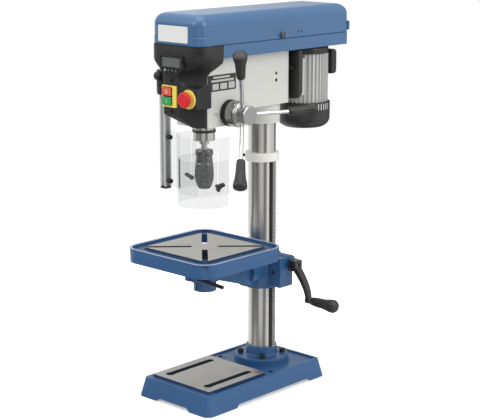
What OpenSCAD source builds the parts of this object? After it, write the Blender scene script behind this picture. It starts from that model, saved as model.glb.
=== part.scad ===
// Bench pillar drill with a rack-lifted tilting table, a lever quill feed and a clear chuck guard.
// The origin is midway between the two bench holes, on the bench.
// +X is the operator's right, -Y the front, +Z up.

/* [Stand] */
// Length of the base, front to back
base_l = 464; // [440:1:500]
// Width of the base
base_w = 264; // [250:1:300]
// Height of the base casting
base_h = 50; // [44:1:60]
// How far the base's sides lean in over their height
base_draft = 14.5; // [8:0.5:18]
// Wall of the base casting
base_wall = 10; // [7:0.5:12]
// Distance between the two bench holes
bench_span = 186; // [176:1:196]
// Diameter of a bench hole
bench_hole_d = 12.5; // [9:0.5:14]
// Distance from the bench holes back to the column's axis
bench_to_column = 65; // [60:1:74]
// Distance from the column's axis to the back of the base
column_to_back = 120.5; // [110:0.5:130]
// Outer diameter of the column
column_d = 73; // [70:0.5:76]
// Wall of the column tube
column_wall = 4; // [3:0.5:6]
// Height of the column's top above the bench
column_top = 880; // [870:1:884]
// Diameter of the column flange
flange_d = 146; // [140:1:150]
// Thickness of the flange plate
flange_t = 12; // [10:1:16]
// Height of the flange's hub over the flange's underside
flange_hub_h = 38; // [30:1:44]

/* [Base plate] */
// Width of the machined plate on the base
plate_w = 206; // [200:1:214]
// Length of the machined plate on the base
plate_l = 212; // [200:1:216]
// Height of the machined plate over the base
plate_h = 7; // [4:0.5:9]
// Distance between the two slots of the plate
plate_slot_span = 140; // [120:1:150]
// Width of a slot of the plate
plate_slot_w = 19; // [14:0.5:22]
// Length of a slot of the plate
plate_slot_l = 151; // [120:1:160]

/* [Rack] */
// Tooth module of the column rack and of its pinion
rack_module = 1.5; // [1.25:0.05:1.6]
// Width of the column rack
rack_w = 13; // [10:0.5:14]
// Thickness of the column rack over its teeth
rack_t = 10; // [8:0.5:11]
// Height of the rack collar's underside above the bench
collar_z = 605; // [590:1:620]
// Height of the rack collar
collar_h = 23; // [18:1:28]
// Outer diameter of the rack collar
collar_d = 90; // [86:1:100]

/* [Table arm] */
// Height of the arm's lower edge above the bench
arm_z = 261; // [256:1:266]
// Height of the arm's column clamp
arm_h = 89; // [84:1:90]
// Outer diameter of the arm's column clamp
arm_d = 104; // [98:1:108]
// Teeth on the lift pinion
pinion_teeth = 24; // [22:1:26]
// Turns of the worm for one turn of the lift pinion
worm_ratio = 10; // [8:1:12]
// Distance from the column's axis back to the worm's axis
worm_back = 14; // [13.5:0.5:15]
// Centre distance of the worm and the worm wheel
worm_centres = 21; // [20:0.5:22]
// Diameter of the worm shaft
worm_shaft_d = 14; // [12:0.5:15]
// Distance from the worm's axis to the crank grip's axis
crank_throw = 88; // [80:0.5:92]
// How far the crank arm bends outwards, past the table's side
crank_out = 48; // [44:0.5:54]
// Length of the crank grip
crank_grip_l = 88; // [80:1:96]

/* [Table] */
// Side of the square table
table_s = 300; // [284:1:302]
// Corner radius of the table
table_r = 45; // [44:1:60]
// Height of the table's top above the bench
table_z = 406; // [400:1:408]
// Height of the table's skirt
skirt_h = 37; // [30:1:38]
// Wall of the table's skirt
skirt_t = 7; // [5:0.5:10]
// Side of the machined square on the table
top_s = 222; // [200:1:230]
// Depth of the coolant gutter
gutter_d = 6; // [3:0.5:7]
// Thickness of the table's plate
top_t = 13; // [11:0.5:15]
// Width of a table slot
table_slot_w = 15; // [12:0.5:16]
// Distance from the table's centre to a slot's inner end
table_slot_r = 40; // [36:1:50]
// Diameter of the table's stem
stem_d = 36; // [30:0.5:40]
// Height of the tilt axis above the bench
tilt_z = 312; // [308:0.5:314]
// Diameter of the tilt flanges
tilt_d = 84; // [76:1:88]
// Diameter of the tilt bolt
tilt_bolt_d = 16; // [12:0.5:18]

/* [Head] */
// Distance from the column to the spindle's axis
throat = 183; // [180:0.5:186]
// Width of the head casting
head_w = 110; // [106:0.5:112]
// Height of the head casting's underside above the bench
head_z = 760; // [756:0.5:764]
// Height of the head casting's top above the bench
head_top = 902; // [900:0.5:908]
// Height of the nose's underside above the bench
nose_z = 726; // [722:0.5:730]
// Distance from the spindle's axis to the front of the casting
nose_front = 46.5; // [42:0.5:50]
// Distance from the column's axis to the back of the casting
head_back = 51; // [48:0.5:54]
// Height of the column clamp's lower edge above the bench
neck_z = 709; // [704:0.5:716]
// Outer diameter of the head's column clamp
neck_d = 95; // [92:0.5:100]

/* [Covers] */
// Width of the belt lid and pan
lid_w = 176; // [170:0.5:178]
// Height of the belt lid
lid_h = 77; // [74:0.5:90]
// Height of the lid's upright sides, below its bevel
lid_side_h = 54; // [40:0.5:60]
// How far the lid's bevel leans in
lid_bevel = 20; // [10:0.5:26]
// Height of the pan under the lid
pan_h = 32; // [28:0.5:36]
// Wall of the lid, the pan and the front cover
sheet_t = 3; // [2:0.5:3.5]
// Distance from the spindle's axis to the lid's front
lid_front = 101.5; // [98:0.5:106]
// Distance from the column's axis to the lid's back
lid_back = 251; // [248:0.5:258]
// Distance from the spindle's axis to the pan's front edge
pan_front = 18.5; // [14:0.5:24]
// Distance from the spindle's axis to the front of the control panel
panel_front = 87; // [84:0.5:90]
// Width of the control panel
panel_w = 117; // [115.5:0.5:118]
// Height of the control panel's lower edge above the bench
panel_z = 757; // [752:0.5:760]
// Height of the wide upper part's lower edge above the bench
brow_z = 890; // [884:0.5:894]

/* [Controls] */
// Width of the switch plate
switch_w = 52; // [48:0.5:54]
// Height of the switch plate
switch_h = 55; // [50:0.5:58]
// Width of a switch button
button_w = 32; // [26:0.5:34]
// Height of a switch button
button_h = 21; // [18:0.5:22]
// Diameter of the emergency stop's yellow ring
estop_ring_d = 48; // [44:0.5:50]
// Diameter of the emergency stop's head
estop_d = 40; // [34:0.5:42]
// Width of the depth readout
readout_w = 85; // [80:0.5:90]
// Height of the depth readout
readout_h = 49; // [44:0.5:50]

/* [Belt drive] */
// Number of steps on each pulley
pulley_steps = 4; // [3:1:4]
// Height of one pulley step
step_h = 17; // [15:0.5:18]
// Diameter of the smallest pulley step
pulley_small_d = 60; // [56:1:62]
// Diameter added by each pulley step
pulley_step_d = 18; // [14:1:18]
// Distance from the column's axis forward to the idler
idler_forward = 58; // [56:0.5:62]
// Distance from the column's axis back to the motor's axis
motor_back = 168; // [164:0.5:170]
// Thickness of a belt
belt_t = 7; // [5:0.5:8]
// Width of a belt
belt_w = 10; // [8:0.5:11]

/* [Motor] */
// Diameter of the motor over its fins
motor_d = 132; // [124:1:133]
// Number of fins on the motor
motor_fins = 36; // [24:1:40]
// Depth of a motor fin
fin_depth = 5; // [3:0.5:7]
// Height of the motor body's lower edge above the bench
motor_z = 747; // [742:0.5:752]
// Height of the motor body
motor_h = 143; // [136:0.5:146]
// Diameter of the fan cover
fan_cover_d = 144; // [140:0.5:148]
// Height of the fan cover
fan_cover_h = 69; // [60:0.5:74]
// Width of the motor plate
motor_plate_w = 144; // [136:0.5:150]
// Diameter of a slide rod
slide_rod_d = 12; // [10:0.5:13]

/* [Quill and feed] */
// Diameter of the quill
quill_d = 55; // [52:0.5:56]
// Length of the quill
quill_l = 196; // [190:0.5:197]
// Height of the quill's lower end above the bench, at the top of its travel
quill_z = 686; // [684:0.5:690]
// Travel of the quill
quill_travel = 80; // [60:1:84]
// Tooth module of the quill's rack and of the feed pinion
feed_module = 1.5; // [1.4:0.05:1.55]
// Teeth on the feed pinion
feed_teeth = 15; // [14:1:16]
// Distance from the quill's axis back to its rack's pitch line
quill_pitch = 22.75; // [22:0.25:23.5]
// Height of the feed shaft's axis above the bench
feed_z = 758; // [756:0.5:762]
// Diameter of the scale ring
scale_d = 68; // [60:0.5:72]
// Width of the scale ring
scale_w = 38; // [34:0.5:42]
// Diameter of the feed hub
hub_d = 50; // [46:0.5:56]
// Length of the feed hub
hub_l = 37; // [34:0.5:42]
// Diameter of a feed lever's rod
lever_d = 10; // [8:0.5:12]
// Length of a feed lever from the hub's axis to the tip
lever_l = 208; // [190:1:220]
// Angle by which the levers lean outwards
lever_lean = 23; // [15:0.5:30]
// Length of a lever's grip
grip_l = 80; // [70:1:90]
// Largest diameter of a grip
grip_d = 38; // [34:0.5:40]

/* [Spindle and chuck] */
// Diameter of the spindle in the quill
spindle_d = 24; // [20:0.5:28]
// Diameter of the splined end of the spindle
spline_d = 17; // [15:0.5:18]
// Height of the chuck's top above the bench
chuck_top = 662; // [658:0.5:664]
// Length of the chuck
chuck_l = 101; // [94:0.5:104]
// Largest diameter of the chuck
chuck_d = 49; // [46:0.5:54]
// Distance from the chuck's axis to the jaws when they stand open
jaw_open = 4.2; // [3.8:0.1:4.6]

/* [Guard] */
// Side of the square guard profile
profile_s = 20; // [18:0.5:20.5]
// Distance from the spindle's axis left to the profile
profile_left = 125; // [122:0.5:130]
// Distance from the spindle's axis forward to the profile
profile_forward = 17; // [14:0.5:20]
// Height of the profile's lower end above the bench
profile_z = 546; // [542:0.5:552]
// Outer radius of the upper shield
shield_r = 71; // [69:0.5:73]
// Wall of a shield
shield_t = 2.5; // [2:0.1:3]
// Height of the upper shield's lower edge above the bench
upper_shield_z = 553; // [548:0.5:560]
// Height of the upper shield's top edge above the bench
upper_shield_top = 699; // [690:0.5:702]
// Height of the lower shield's lower edge above the bench
lower_shield_z = 521; // [518:0.5:530]
// Height of the lower shield's top edge above the bench
lower_shield_top = 640; // [620:0.5:642]

/* [Fits] */
// Radial clearance of a shaft that turns or slides in its bore
fit = 0.05; // [0.03:0.01:0.08]
// Gap between pieces that move past each other
gap = 0.4; // [0.3:0.05:0.5]

/* [Hidden] */
$fn = 64;

paint = [0.29, 0.45, 0.66];
casting_grey = [0.86, 0.86, 0.84];
black_plastic = [0.24, 0.24, 0.24];
steel = [0.75, 0.75, 0.74];

// Places along Y
column_y = bench_to_column;
spindle_y = column_y - column_d / 2 - throat;
base_back = column_y + column_to_back;
base_front = base_back - base_l;
lid_y0 = spindle_y - lid_front;
lid_y1 = column_y + lid_back;
pan_y0 = spindle_y - pan_front;
panel_y = spindle_y - panel_front;
casting_front = spindle_y - nose_front;
casting_back = column_y + head_back;
idler_y = column_y - idler_forward;
motor_y = column_y + motor_back;

// Heights
base_corner_r = 22;
pad_h = 4;
flange_z = base_h + pad_h;
hub_top = flange_z + flange_hub_h;
flange_bolt_r = flange_d / 2 - 15.5;
bolt_d = 10;
rack_pitch = PI * rack_module;
rack_x = column_d / 2 + gap;
rack_z = hub_top + gap;
rack_l = collar_z - gap - rack_z;
pinion_r = rack_module * pinion_teeth / 2;
pinion_x = rack_x + rack_t - rack_module + pinion_r;
pinion_z = rack_z + rack_pitch * round((arm_z + 47 - rack_z) / rack_pitch);
worm_y = column_y + worm_back;
worm_z = pinion_z + worm_centres;
worm_r = 7;
wheel_r = worm_centres - worm_r - gap;
wheel_w = 13;
arm_top = arm_z + arm_h;
housing_x = pinion_x + 26;
tilt_y = column_y - arm_d / 2 - 6;
table_under = table_z - skirt_h;
bracket_top = table_under - 19;
lid_z = head_top + pan_h;
lid_corner = 26;
lid_back_corner = 12;
feed_r = feed_module * feed_teeth / 2;
feed_y = spindle_y + quill_pitch + feed_r;
feed_shaft_d = 2 * (feed_r + feed_module) + 0.4;
hub_x = head_w / 2 + gap;
chuck_z = chuck_top - chuck_l;
pulley_z = head_top + 10;
profile_x = -profile_left;
profile_y = spindle_y - profile_forward;
swivel_z = feed_z + 54;
swivel_d = 42;

module block(x, y, z)
    translate([x[0], y[0], z[0]])
        cube([x[1] - x[0], y[1] - y[0], z[1] - z[0]]);

// A cylinder along +X or +Y, from the point given
module rod_x(at, l, d) translate(at) rotate([0, 90, 0]) cylinder(h = l, d = d);
module rod_y(at, l, d) translate(at) rotate([-90, 0, 0]) cylinder(h = l, d = d);
module rod_z(at, l, d) translate(at) cylinder(h = l, d = d);

// A block with leaning sides and round upright corners
module leaning_block(w, y, z, r, lean)
    hull()
        for (px = [-w / 2 + r, w / 2 - r], py = [y[0] + r, y[1] - r])
            translate([px, py, z[0]])
                cylinder(h = z[1] - z[0], r1 = r, r2 = max(r - lean, 0.5), $fn = 32);

// An upright block with round corners, with its own radius at the front and at the back
module round_block(w, y, z, front_r, back_r)
    hull() {
        for (s = [-1, 1]) {
            translate([s * (w / 2 - front_r), y[0] + front_r, z[0]])
                cylinder(h = z[1] - z[0], r = front_r, $fn = 32);
            translate([s * (w / 2 - back_r), y[1] - back_r, z[0]])
                cylinder(h = z[1] - z[0], r = back_r, $fn = 32);
        }
    }

// Outline of a spur gear with narrow straight teeth
module gear_outline(teeth, m)
    polygon([for (i = [0 : teeth - 1], k = [0 : 3])
        let (r = m * teeth / 2 + (k == 1 || k == 2 ? m : -1.25 * m),
             half = (k == 0 || k == 3 ? 0.6 : 0.2) * m,
             side = k < 2 ? -1 : 1,
             turn = 360 * i / teeth)
        [r * cos(turn) - side * half * sin(turn), r * sin(turn) + side * half * cos(turn)]]);

// Outline of a rack with teeth towards +X; a tooth space is centred on every whole pitch
module rack_outline(t, z0, z1, m, origin)
    let (pitch = PI * m,
         first = ceil((z0 - origin) / pitch),
         last = floor((z1 - origin) / pitch) - 1)
    polygon(concat(
        [[0, z1], [0, z0], [t, z0]],
        [for (i = [first : last], k = [0 : 3])
            let (middle = origin + (i + 0.5) * pitch,
                 half = (k == 0 || k == 3 ? 1.05 : 0.45) * m * (k < 2 ? -1 : 1))
            [t - (k == 0 || k == 3 ? 2.25 * m : 0), middle + half]],
        [[t, z1]]));

// Stand

module base() {
    inner_h = base_h - base_wall;
    notch_h = 8;
    foot = 70;
    boss_d = 30;
    rim_t = 7;
    rim_h = 4;
    plate_y = base_front + 32;
    slot_y = plate_y + plate_l - 30 - plate_slot_l;
    color(paint) difference() {
        union() {
            difference() {
                leaning_block(base_w, [base_front, base_back], [0, base_h], base_corner_r, base_draft);
                leaning_block(base_w - 2 * base_wall, [base_front + base_wall, base_back - base_wall],
                              [-1, inner_h], base_corner_r - base_wall, base_draft * inner_h / base_h);
                translate([0, base_back + 1, 0]) rotate([90, 0, 0])
                    linear_extrude(base_l + 2) notch_outline(base_w - 2 * foot, notch_h);
                translate([-base_w / 2 - 1, (base_front + base_back + 41) / 2, 0]) rotate([90, 0, 90])
                    linear_extrude(base_w + 2) notch_outline(base_l - 171, notch_h);
                // The top lies lower behind the plate, inside a rim
                round_block(base_w - 2 * (base_draft + rim_t), [plate_y + 20, base_back - base_draft - rim_t],
                            [base_h - rim_h, base_h + 1], 1, 8);
            }
            for (s = [-1, 1])
                rod_z([s * bench_span / 2, 0, 0], base_h - rim_h + 1, boss_d);
            rod_z([0, column_y, notch_h], base_h + pad_h - notch_h, flange_d + 6);
            block([-plate_w / 2, plate_w / 2], [plate_y, plate_y + plate_l],
                  [inner_h - 1, base_h + plate_h]);
        }
        for (s = [-1, 1]) {
            rod_z([s * bench_span / 2, 0, -1], base_h + 3, bench_hole_d);
            block([s * plate_slot_span / 2 - plate_slot_w / 2, s * plate_slot_span / 2 + plate_slot_w / 2],
                  [slot_y, slot_y + plate_slot_l], [0, base_h + plate_h + 1]);
            rod_z([s * plate_slot_span / 2, slot_y, 0], base_h + plate_h + 1, plate_slot_w + 5);
            rod_z([s * plate_slot_span / 2, slot_y + plate_slot_l, 0], base_h + plate_h + 1, plate_slot_w);
        }
        for (a = [45 : 90 : 315])
            translate([0, column_y, base_h - 20])
                rotate(a) translate([flange_bolt_r, 0, 0])
                    cylinder(h = 30, d = bolt_d + 2 * fit);
    }
}

// Outline of a notch between two feet, with slanting ends
module notch_outline(l, h)
    polygon([[-l / 2, -1], [l / 2, -1], [l / 2, 0], [l / 2 - 1.4 * h, h],
             [-l / 2 + 1.4 * h, h], [-l / 2, 0]]);

module column_flange() {
    hub_r = column_d / 2 + 5.5;
    color(paint) difference() {
        translate([0, column_y, flange_z])
            rotate_extrude()
                polygon([[column_d / 2 + fit, 0], [flange_d / 2, 0], [flange_d / 2, flange_t - 2],
                         [flange_d / 2 - 2, flange_t], [hub_r + 3, flange_t], [hub_r, flange_t + 3],
                         [hub_r, flange_hub_h], [column_d / 2 + fit, flange_hub_h]]);
        for (a = [45 : 90 : 315])
            translate([0, column_y, flange_z - 1])
                rotate(a) translate([flange_bolt_r, 0, 0])
                    cylinder(h = flange_hub_h, d = bolt_d + 2 * fit);
        translate([0, column_y, hub_top - 10])
            rotate([0, 90, 150]) cylinder(h = flange_d, d = set_screw_d + 2 * fit);
    }
}

// Socket-head screw standing on z = 0, with its shank below
module cap_screw(d, head_d, head_h, l) {
    difference() {
        cylinder(h = head_h, d = head_d);
        translate([0, 0, head_h * 0.4]) cylinder(h = head_h, d = head_d * 0.5, $fn = 6);
    }
    translate([0, 0, -l]) cylinder(h = l + 0.01, d = d);
}

module flange_bolts()
    color(black_plastic)
        for (a = [45 : 90 : 315])
            translate([0, column_y, flange_z + flange_t])
                rotate(a) translate([flange_bolt_r, 0, 0]) cap_screw(bolt_d, 16, 10, flange_t + 16);

// Set screws on the flange's hub, the rack collar and the head's column clamp
set_screw_d = 8;
set_screw_l = 16;
head_screw_z = [842, 824];

module set_screw() {
    difference() {
        cylinder(h = set_screw_l, d = set_screw_d);
        translate([0, 0, set_screw_l - 4]) cylinder(h = 5, d = set_screw_d / 2, $fn = 6);
    }
}

module set_screws() {
    color(black_plastic) {
        translate([0, column_y, hub_top - 10])
            rotate([0, 90, 150]) translate([0, 0, column_d / 2 + gap]) set_screw();
        translate([0, column_y, collar_z + collar_h / 2])
            rotate([0, 90, 215]) translate([0, 0, column_d / 2 + gap]) set_screw();
        for (z = head_screw_z)
            translate([column_d / 2 + gap, column_y - 6, z]) rotate([0, 90, 0]) set_screw();
    }
}

module column()
    color(steel) translate([0, column_y, flange_z]) difference() {
        cylinder(h = column_top - flange_z, d = column_d);
        translate([0, 0, -1]) cylinder(h = column_top, d = column_d - 2 * column_wall);
    }

module column_rack()
    color(steel)
        translate([rack_x, column_y + rack_w / 2, 0])
            rotate([90, 0, 0])
                linear_extrude(rack_w)
                    rack_outline(rack_t, rack_z, rack_z + rack_l, rack_module, pinion_z);

module rack_collar()
    color(casting_grey) difference() {
        rod_z([0, column_y, collar_z], collar_h, collar_d);
        rod_z([0, column_y, collar_z - 1], collar_h + 2, column_d + 2 * fit);
        translate([0, column_y, collar_z + collar_h / 2])
            rotate([0, 90, 215]) cylinder(h = collar_d, d = set_screw_d + 2 * fit);
    }

// Table arm and lift

lock_z = arm_z + 24;

module table_arm() {
    boss_d = 50;
    boss_x = 30;
    color(paint) difference() {
        union() {
            rod_z([0, column_y, arm_z], arm_h, arm_d);
            block([0, housing_x], [column_y - 25, column_y + 25], [arm_z + 9, arm_top]);
            rod_x([boss_x, worm_y, worm_z], housing_x - boss_x, boss_d);
            rod_y([0, tilt_y, tilt_z], 40, tilt_d);
            block([-arm_d / 2 - 14, 0], [column_y - 16, column_y + 16], [lock_z - 16, lock_z + 16]);
        }
        rod_z([0, column_y, arm_z - 1], table_z - arm_z, column_d + 2 * fit);
        block([0, rack_x + rack_t + gap], [column_y - rack_w / 2 - gap, column_y + rack_w / 2 + gap],
              [arm_z - 1, table_z]);
        // Room for the pinion, the worm wheel and the worm, and their bores
        rod_y([pinion_x, column_y - rack_w / 2 - gap, pinion_z], rack_w + 2 * gap,
              2 * (pinion_r + rack_module + gap));
        rod_y([pinion_x, column_y - 40, pinion_z], 100, axle_d + 2 * fit);
        rod_y([pinion_x, worm_y - wheel_w / 2 - gap, pinion_z], wheel_w + 2 * gap, 2 * (wheel_r + gap));
        rod_x([pinion_x - worm_l / 2 - gap, worm_y, worm_z], worm_l + 2 * gap, 2 * (worm_r + gap));
        rod_x([worm_x - gap, worm_y, worm_z], housing_x, worm_shaft_d - 2 + 2 * fit);
        // Tapped holes for the tilt bolt and for the lock lever's screw
        rod_y([0, tilt_y - 1, tilt_z], 15, tilt_bolt_d + 2 * fit);
        rod_x([-arm_d / 2 - 15, column_y, lock_z], 20, lock_d + 2 * fit);
    }
}

lock_d = 12;

module arm_lock_lever() {
    x = -arm_d / 2 - 14 - gap;
    color(black_plastic) {
        rod_x([x, column_y, lock_z], 18, lock_d);
        difference() {
            rod_x([x - 16, column_y, lock_z], 16, 22);
            translate([x - 8, column_y, lock_z]) rotate([-60, 0, 0]) cylinder(h = 30, d = 9);
        }
        translate([x - 8, column_y, lock_z]) rotate([-60, 0, 0]) {
            cylinder(h = 62, d = 9);
            translate([0, 0, 60]) rotate_extrude() knob_half(20, 24);
        }
    }
}

// Half outline of a ball-ended knob that stands on z = 0
module knob_half(d, l)
    intersection() {
        union() {
            square([d * 0.32, l * 0.6]);
            translate([0, l - d / 2]) circle(d = d);
        }
        square([d, l]);
    }

axle_d = 12;
axle_y = [column_y - 16, column_y + 24.5];
worm_l = 32;
worm_x = pinion_x - 22;

module lift_pinion() {
    wheel_teeth = 20;
    color(steel) difference() {
        union() {
            rod_y([pinion_x, axle_y[0], pinion_z], axle_y[1] - axle_y[0], axle_d);
            translate([pinion_x, column_y + rack_w / 2, pinion_z]) rotate([90, 0, 0]) rotate(180)
                linear_extrude(rack_w) gear_outline(pinion_teeth, rack_module);
            rod_y([pinion_x, worm_y - wheel_w / 2, pinion_z], wheel_w, 2 * wheel_r);
        }
        for (i = [0 : wheel_teeth - 1])
            translate([pinion_x, worm_y, pinion_z])
                rotate([0, 360 * i / wheel_teeth, 0])
                    block([wheel_r - 2, wheel_r + 1], [-wheel_w, wheel_w], [-0.9, 0.9]);
    }
}

crank_x = housing_x + 7;
crank_t = 24;

module worm_shaft() {
    d = worm_shaft_d - 2;
    color(steel) difference() {
        union() {
            rod_x([worm_x, worm_y, worm_z], crank_x + crank_t - 4 - worm_x, d);
            rod_x([pinion_x - worm_l / 2, worm_y, worm_z], worm_l, 2 * worm_r);
        }
        for (i = [-3 : 3])
            translate([pinion_x + i * 4.4 - 0.8, worm_y, worm_z])
                rotate([0, 90, 0]) difference() {
                    cylinder(h = 1.6, d = 2 * worm_r + 1);
                    cylinder(h = 1.6, d = d);
                }
    }
}

// The crank arm hangs from a square hub and bends outwards to the grip's pin
crank_hub = 28;
crank_pin_d = 8;
crank_mid = crank_x + crank_t / 2;
crank_end = crank_mid + crank_out;
crank_end_t = 12;

module crank_arm() {
    top_w = 22;
    end_w = 14;
    color([0.24, 0.23, 0.21]) translate([0, worm_y, worm_z]) {
        difference() {
            union() {
                block([crank_x, crank_x + crank_t], [-crank_hub / 2, crank_hub / 2],
                      [-crank_hub / 2, crank_hub / 2]);
                intersection() {
                    translate([0, crank_hub / 2, 0]) rotate([90, 0, 0]) linear_extrude(crank_hub)
                        crank_outline(7, 5);
                    translate([crank_x, 0, 0]) rotate([90, 0, 90]) linear_extrude(crank_t + crank_out)
                        polygon([[-top_w / 2, 9], [top_w / 2, 9], [end_w / 2, -crank_throw - 9],
                                 [-end_w / 2, -crank_throw - 9]]);
                }
                rod_x([crank_end - crank_end_t / 2, 0, -crank_throw], crank_end_t, 18);
            }
            // Bore for the shaft, and the clamp screw's hole
            rod_x([crank_x - 1, 0, 0], crank_t + 2, worm_shaft_d - 2 + 2 * fit);
            rod_y([crank_mid, -crank_hub / 2 - 1, 0], 6, 8);
        }
        rod_x([crank_end, 0, -crank_throw], crank_end_t / 2 + crank_grip_l, crank_pin_d);
    }
}

// The arm's front view, a quarter of an ellipse that ends upright, with its half thickness at both ends
module crank_outline(h0, h1) {
    steps = 12;
    lean = function (u) atan2(crank_out * PI / 2 * cos(90 * u), crank_throw);
    side = function (u, h) [crank_mid + crank_out * sin(90 * u) + h * cos(lean(u)),
                            -crank_throw * u + h * sin(lean(u))];
    polygon(concat([for (i = [0 : steps]) let (u = i / steps) side(u, h0 + (h1 - h0) * u)],
                   [for (i = [steps : -1 : 0]) let (u = i / steps) side(u, -h0 - (h1 - h0) * u)]));
}

module crank_grip()
    color(black_plastic) translate([crank_end + crank_end_t / 2 + 3, worm_y, worm_z - crank_throw])
        rotate([0, 90, 0]) rotate_extrude() grip_half(18, 36, crank_grip_l, crank_pin_d / 2 + fit, 0.7);

// Half outline of a grip that swells with a power of the length to a blunt round end, with a bore
module grip_half(d0, d1, l, bore_r, power) {
    steps = 16;
    blunt = 0.88;
    place = function (i) 1 - pow(1 - i / steps, 1.5);
    r = function (u) d0 / 2 + (d1 - d0) / 2 * pow(u, power);
    end = function (u) u < blunt ? 1 : pow(max(0, 1 - pow((u - blunt) / (1 - blunt), 3)), 1 / 3);
    polygon(concat([[bore_r, 0], [d0 / 2 - 2.5, 0]],
                   [for (i = [1 : steps]) let (u = place(i)) [max(bore_r + 0.5, r(u) * end(u)), l * u]],
                   [[bore_r, l]]));
}

// Table

tilt_flange_t = 17;
bracket_y = tilt_y - gap - tilt_flange_t;
boss_z = table_under - 79;
ring_z = table_under - 49;
clamp_z = ring_z + 10;
lug_w = 40;
clamp_y = spindle_y - 44;
clamp_d = 10;

module tilt_bolt()
    color(steel) {
        rod_y([0, bracket_y - gap, tilt_z], tilt_flange_t + 2 * gap + 13, tilt_bolt_d);
        translate([0, bracket_y - gap - 10, tilt_z]) rotate([-90, 0, 0])
            cylinder(h = 10.01, d = 27, $fn = 6);
    }

module table_bracket() {
    beam_w = 60;
    wall = 9;
    ring_d = 88;
    beam_z = min(ring_z - 4, tilt_z + 4);
    color(paint) difference() {
        union() {
            rod_y([0, bracket_y, tilt_z], tilt_flange_t, tilt_d);
            // The beam is deepest at the tilt flange and hollow from below
            difference() {
                translate([-beam_w / 2, 0, 0]) rotate([90, 0, 90]) linear_extrude(beam_w)
                    polygon([[spindle_y + 20, beam_z], [bracket_y + 5, tilt_z - tilt_d / 2 + 4],
                             [bracket_y + 5, bracket_top], [spindle_y + 20, bracket_top]]);
                block([-beam_w / 2 + wall, beam_w / 2 - wall], [spindle_y + 50, bracket_y],
                      [0, bracket_top - wall]);
            }
            rod_z([0, spindle_y, ring_z], bracket_top - ring_z, ring_d);
            rod_z([0, spindle_y, boss_z], bracket_top - boss_z, stem_d + 24);
            block([-lug_w / 2, lug_w / 2], [clamp_y - 9, spindle_y - 20], [clamp_z - 9, clamp_z + 12]);
        }
        rod_z([0, spindle_y, boss_z - 1], table_z - boss_z, stem_d + 2 * fit);
        block([-2, 2], [clamp_y - 20, spindle_y], [boss_z - 1, bracket_top + 1]);
        rod_x([-lug_w / 2 - 1, clamp_y, clamp_z], lug_w + 2, clamp_d + 2 * fit);
        rod_y([0, bracket_y - 1, tilt_z], tilt_flange_t + 2, tilt_bolt_d + 2 * fit);
    }
}

// A bent rod: its straight end is the clamp screw, its slanting end the handle
module table_clamp_lever() {
    bend = [lug_w / 2 + 7, clamp_y, clamp_z];
    color(black_plastic) {
        rod_x([-lug_w / 2 + 2, clamp_y, clamp_z], lug_w / 2 - 2 + bend[0], clamp_d);
        translate(bend) sphere(d = clamp_d, $fn = 24);
        translate(bend) rotate([0, 101, 16]) cylinder(h = 68, d = clamp_d);
    }
}

module table_plan(s, r, z, h)
    translate([0, spindle_y, z]) linear_extrude(h)
        hull() for (px = [-1, 1], py = [-1, 1])
            translate([px * (s / 2 - r), py * (s / 2 - r)]) circle(r = r, $fn = 48);

module table() {
    plate_z = table_z - top_t;
    corner = top_s / sqrt(2);
    color(paint) difference() {
        union() {
            difference() {
                table_plan(table_s, table_r, table_under, skirt_h);
                table_plan(table_s - 2 * skirt_t, table_r - skirt_t, table_under - 1,
                           plate_z - table_under + 1);
                difference() {
                    table_plan(table_s - 2 * skirt_t, table_r - skirt_t, table_z - gutter_d, gutter_d + 1);
                    table_plan(top_s, 8, plate_z, top_t + 2);
                }
            }
            rod_z([0, spindle_y, bracket_top + gap], plate_z - bracket_top + 1, 80);
            rod_z([0, spindle_y, boss_z + 2], plate_z - boss_z, stem_d);
            for (a = [0, 90])
                translate([0, spindle_y, 0]) rotate(a)
                    block([-table_s / 2 + skirt_t / 2, table_s / 2 - skirt_t / 2], [-4, 4],
                          [plate_z - 12, plate_z + 1]);
        }
        for (a = [45 : 90 : 315])
            translate([0, spindle_y, plate_z - 1]) rotate(a) {
                block([table_slot_r, corner], [-table_slot_w / 2, table_slot_w / 2], [0, top_t + 2]);
                rod_z([table_slot_r, 0, 0], top_t + 2, table_slot_w);
            }
        block([-2, 2], [spindle_y + table_s / 2 - skirt_t - 2, spindle_y + table_s / 2 + 1],
              [table_z - gutter_d, table_z + 1]);
    }
}

// Head

module head_casting() {
    cavity_y = [spindle_y + quill_d / 2 + 30, idler_y - 22];
    color(casting_grey) difference() {
        union() {
            round_block(head_w, [casting_front, casting_back], [head_z, head_top], 8, 14);
            round_block(head_w, [casting_front, feed_y + 30], [nose_z, head_z + 1], 8, 20);
            rod_z([0, column_y, neck_z], head_z - neck_z + 1, neck_d);
            rod_x([-head_w / 2, feed_y, feed_z], head_w, 68);
        }
        rod_z([0, column_y, neck_z - 1], column_top + 1 - neck_z, column_d + 2 * fit);
        rod_z([0, spindle_y, nose_z - 20], quill_z + quill_l + 4 - nose_z + 20, quill_d + 2 * fit);
        rod_z([0, spindle_y, head_z], head_top, sleeve_d + 2 * fit);
        rod_x([-head_w, feed_y, feed_z], 2 * head_w, feed_shaft_d + 2 * fit);
        block([-head_w / 2 + 10, head_w / 2 - 10], cavity_y, [head_z + 34, head_top + 1]);
        rod_z([0, idler_y, head_top - 50], 60, idler_shaft_d + 2 * fit);
        for (z = head_screw_z)
            rod_x([0, column_y - 6, z], head_w, set_screw_d + 2 * fit);
        for (s = [-1, 1])
            rod_y([s * slide_rod_x, casting_back - 54, slide_rod_z], 60, slide_rod_d + 2 * fit);
    }
}

slide_rod_x = 46;
slide_rod_in = 42;
slide_rod_z = 850;
sleeve_d = 38;
idler_shaft_d = 16;

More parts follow.
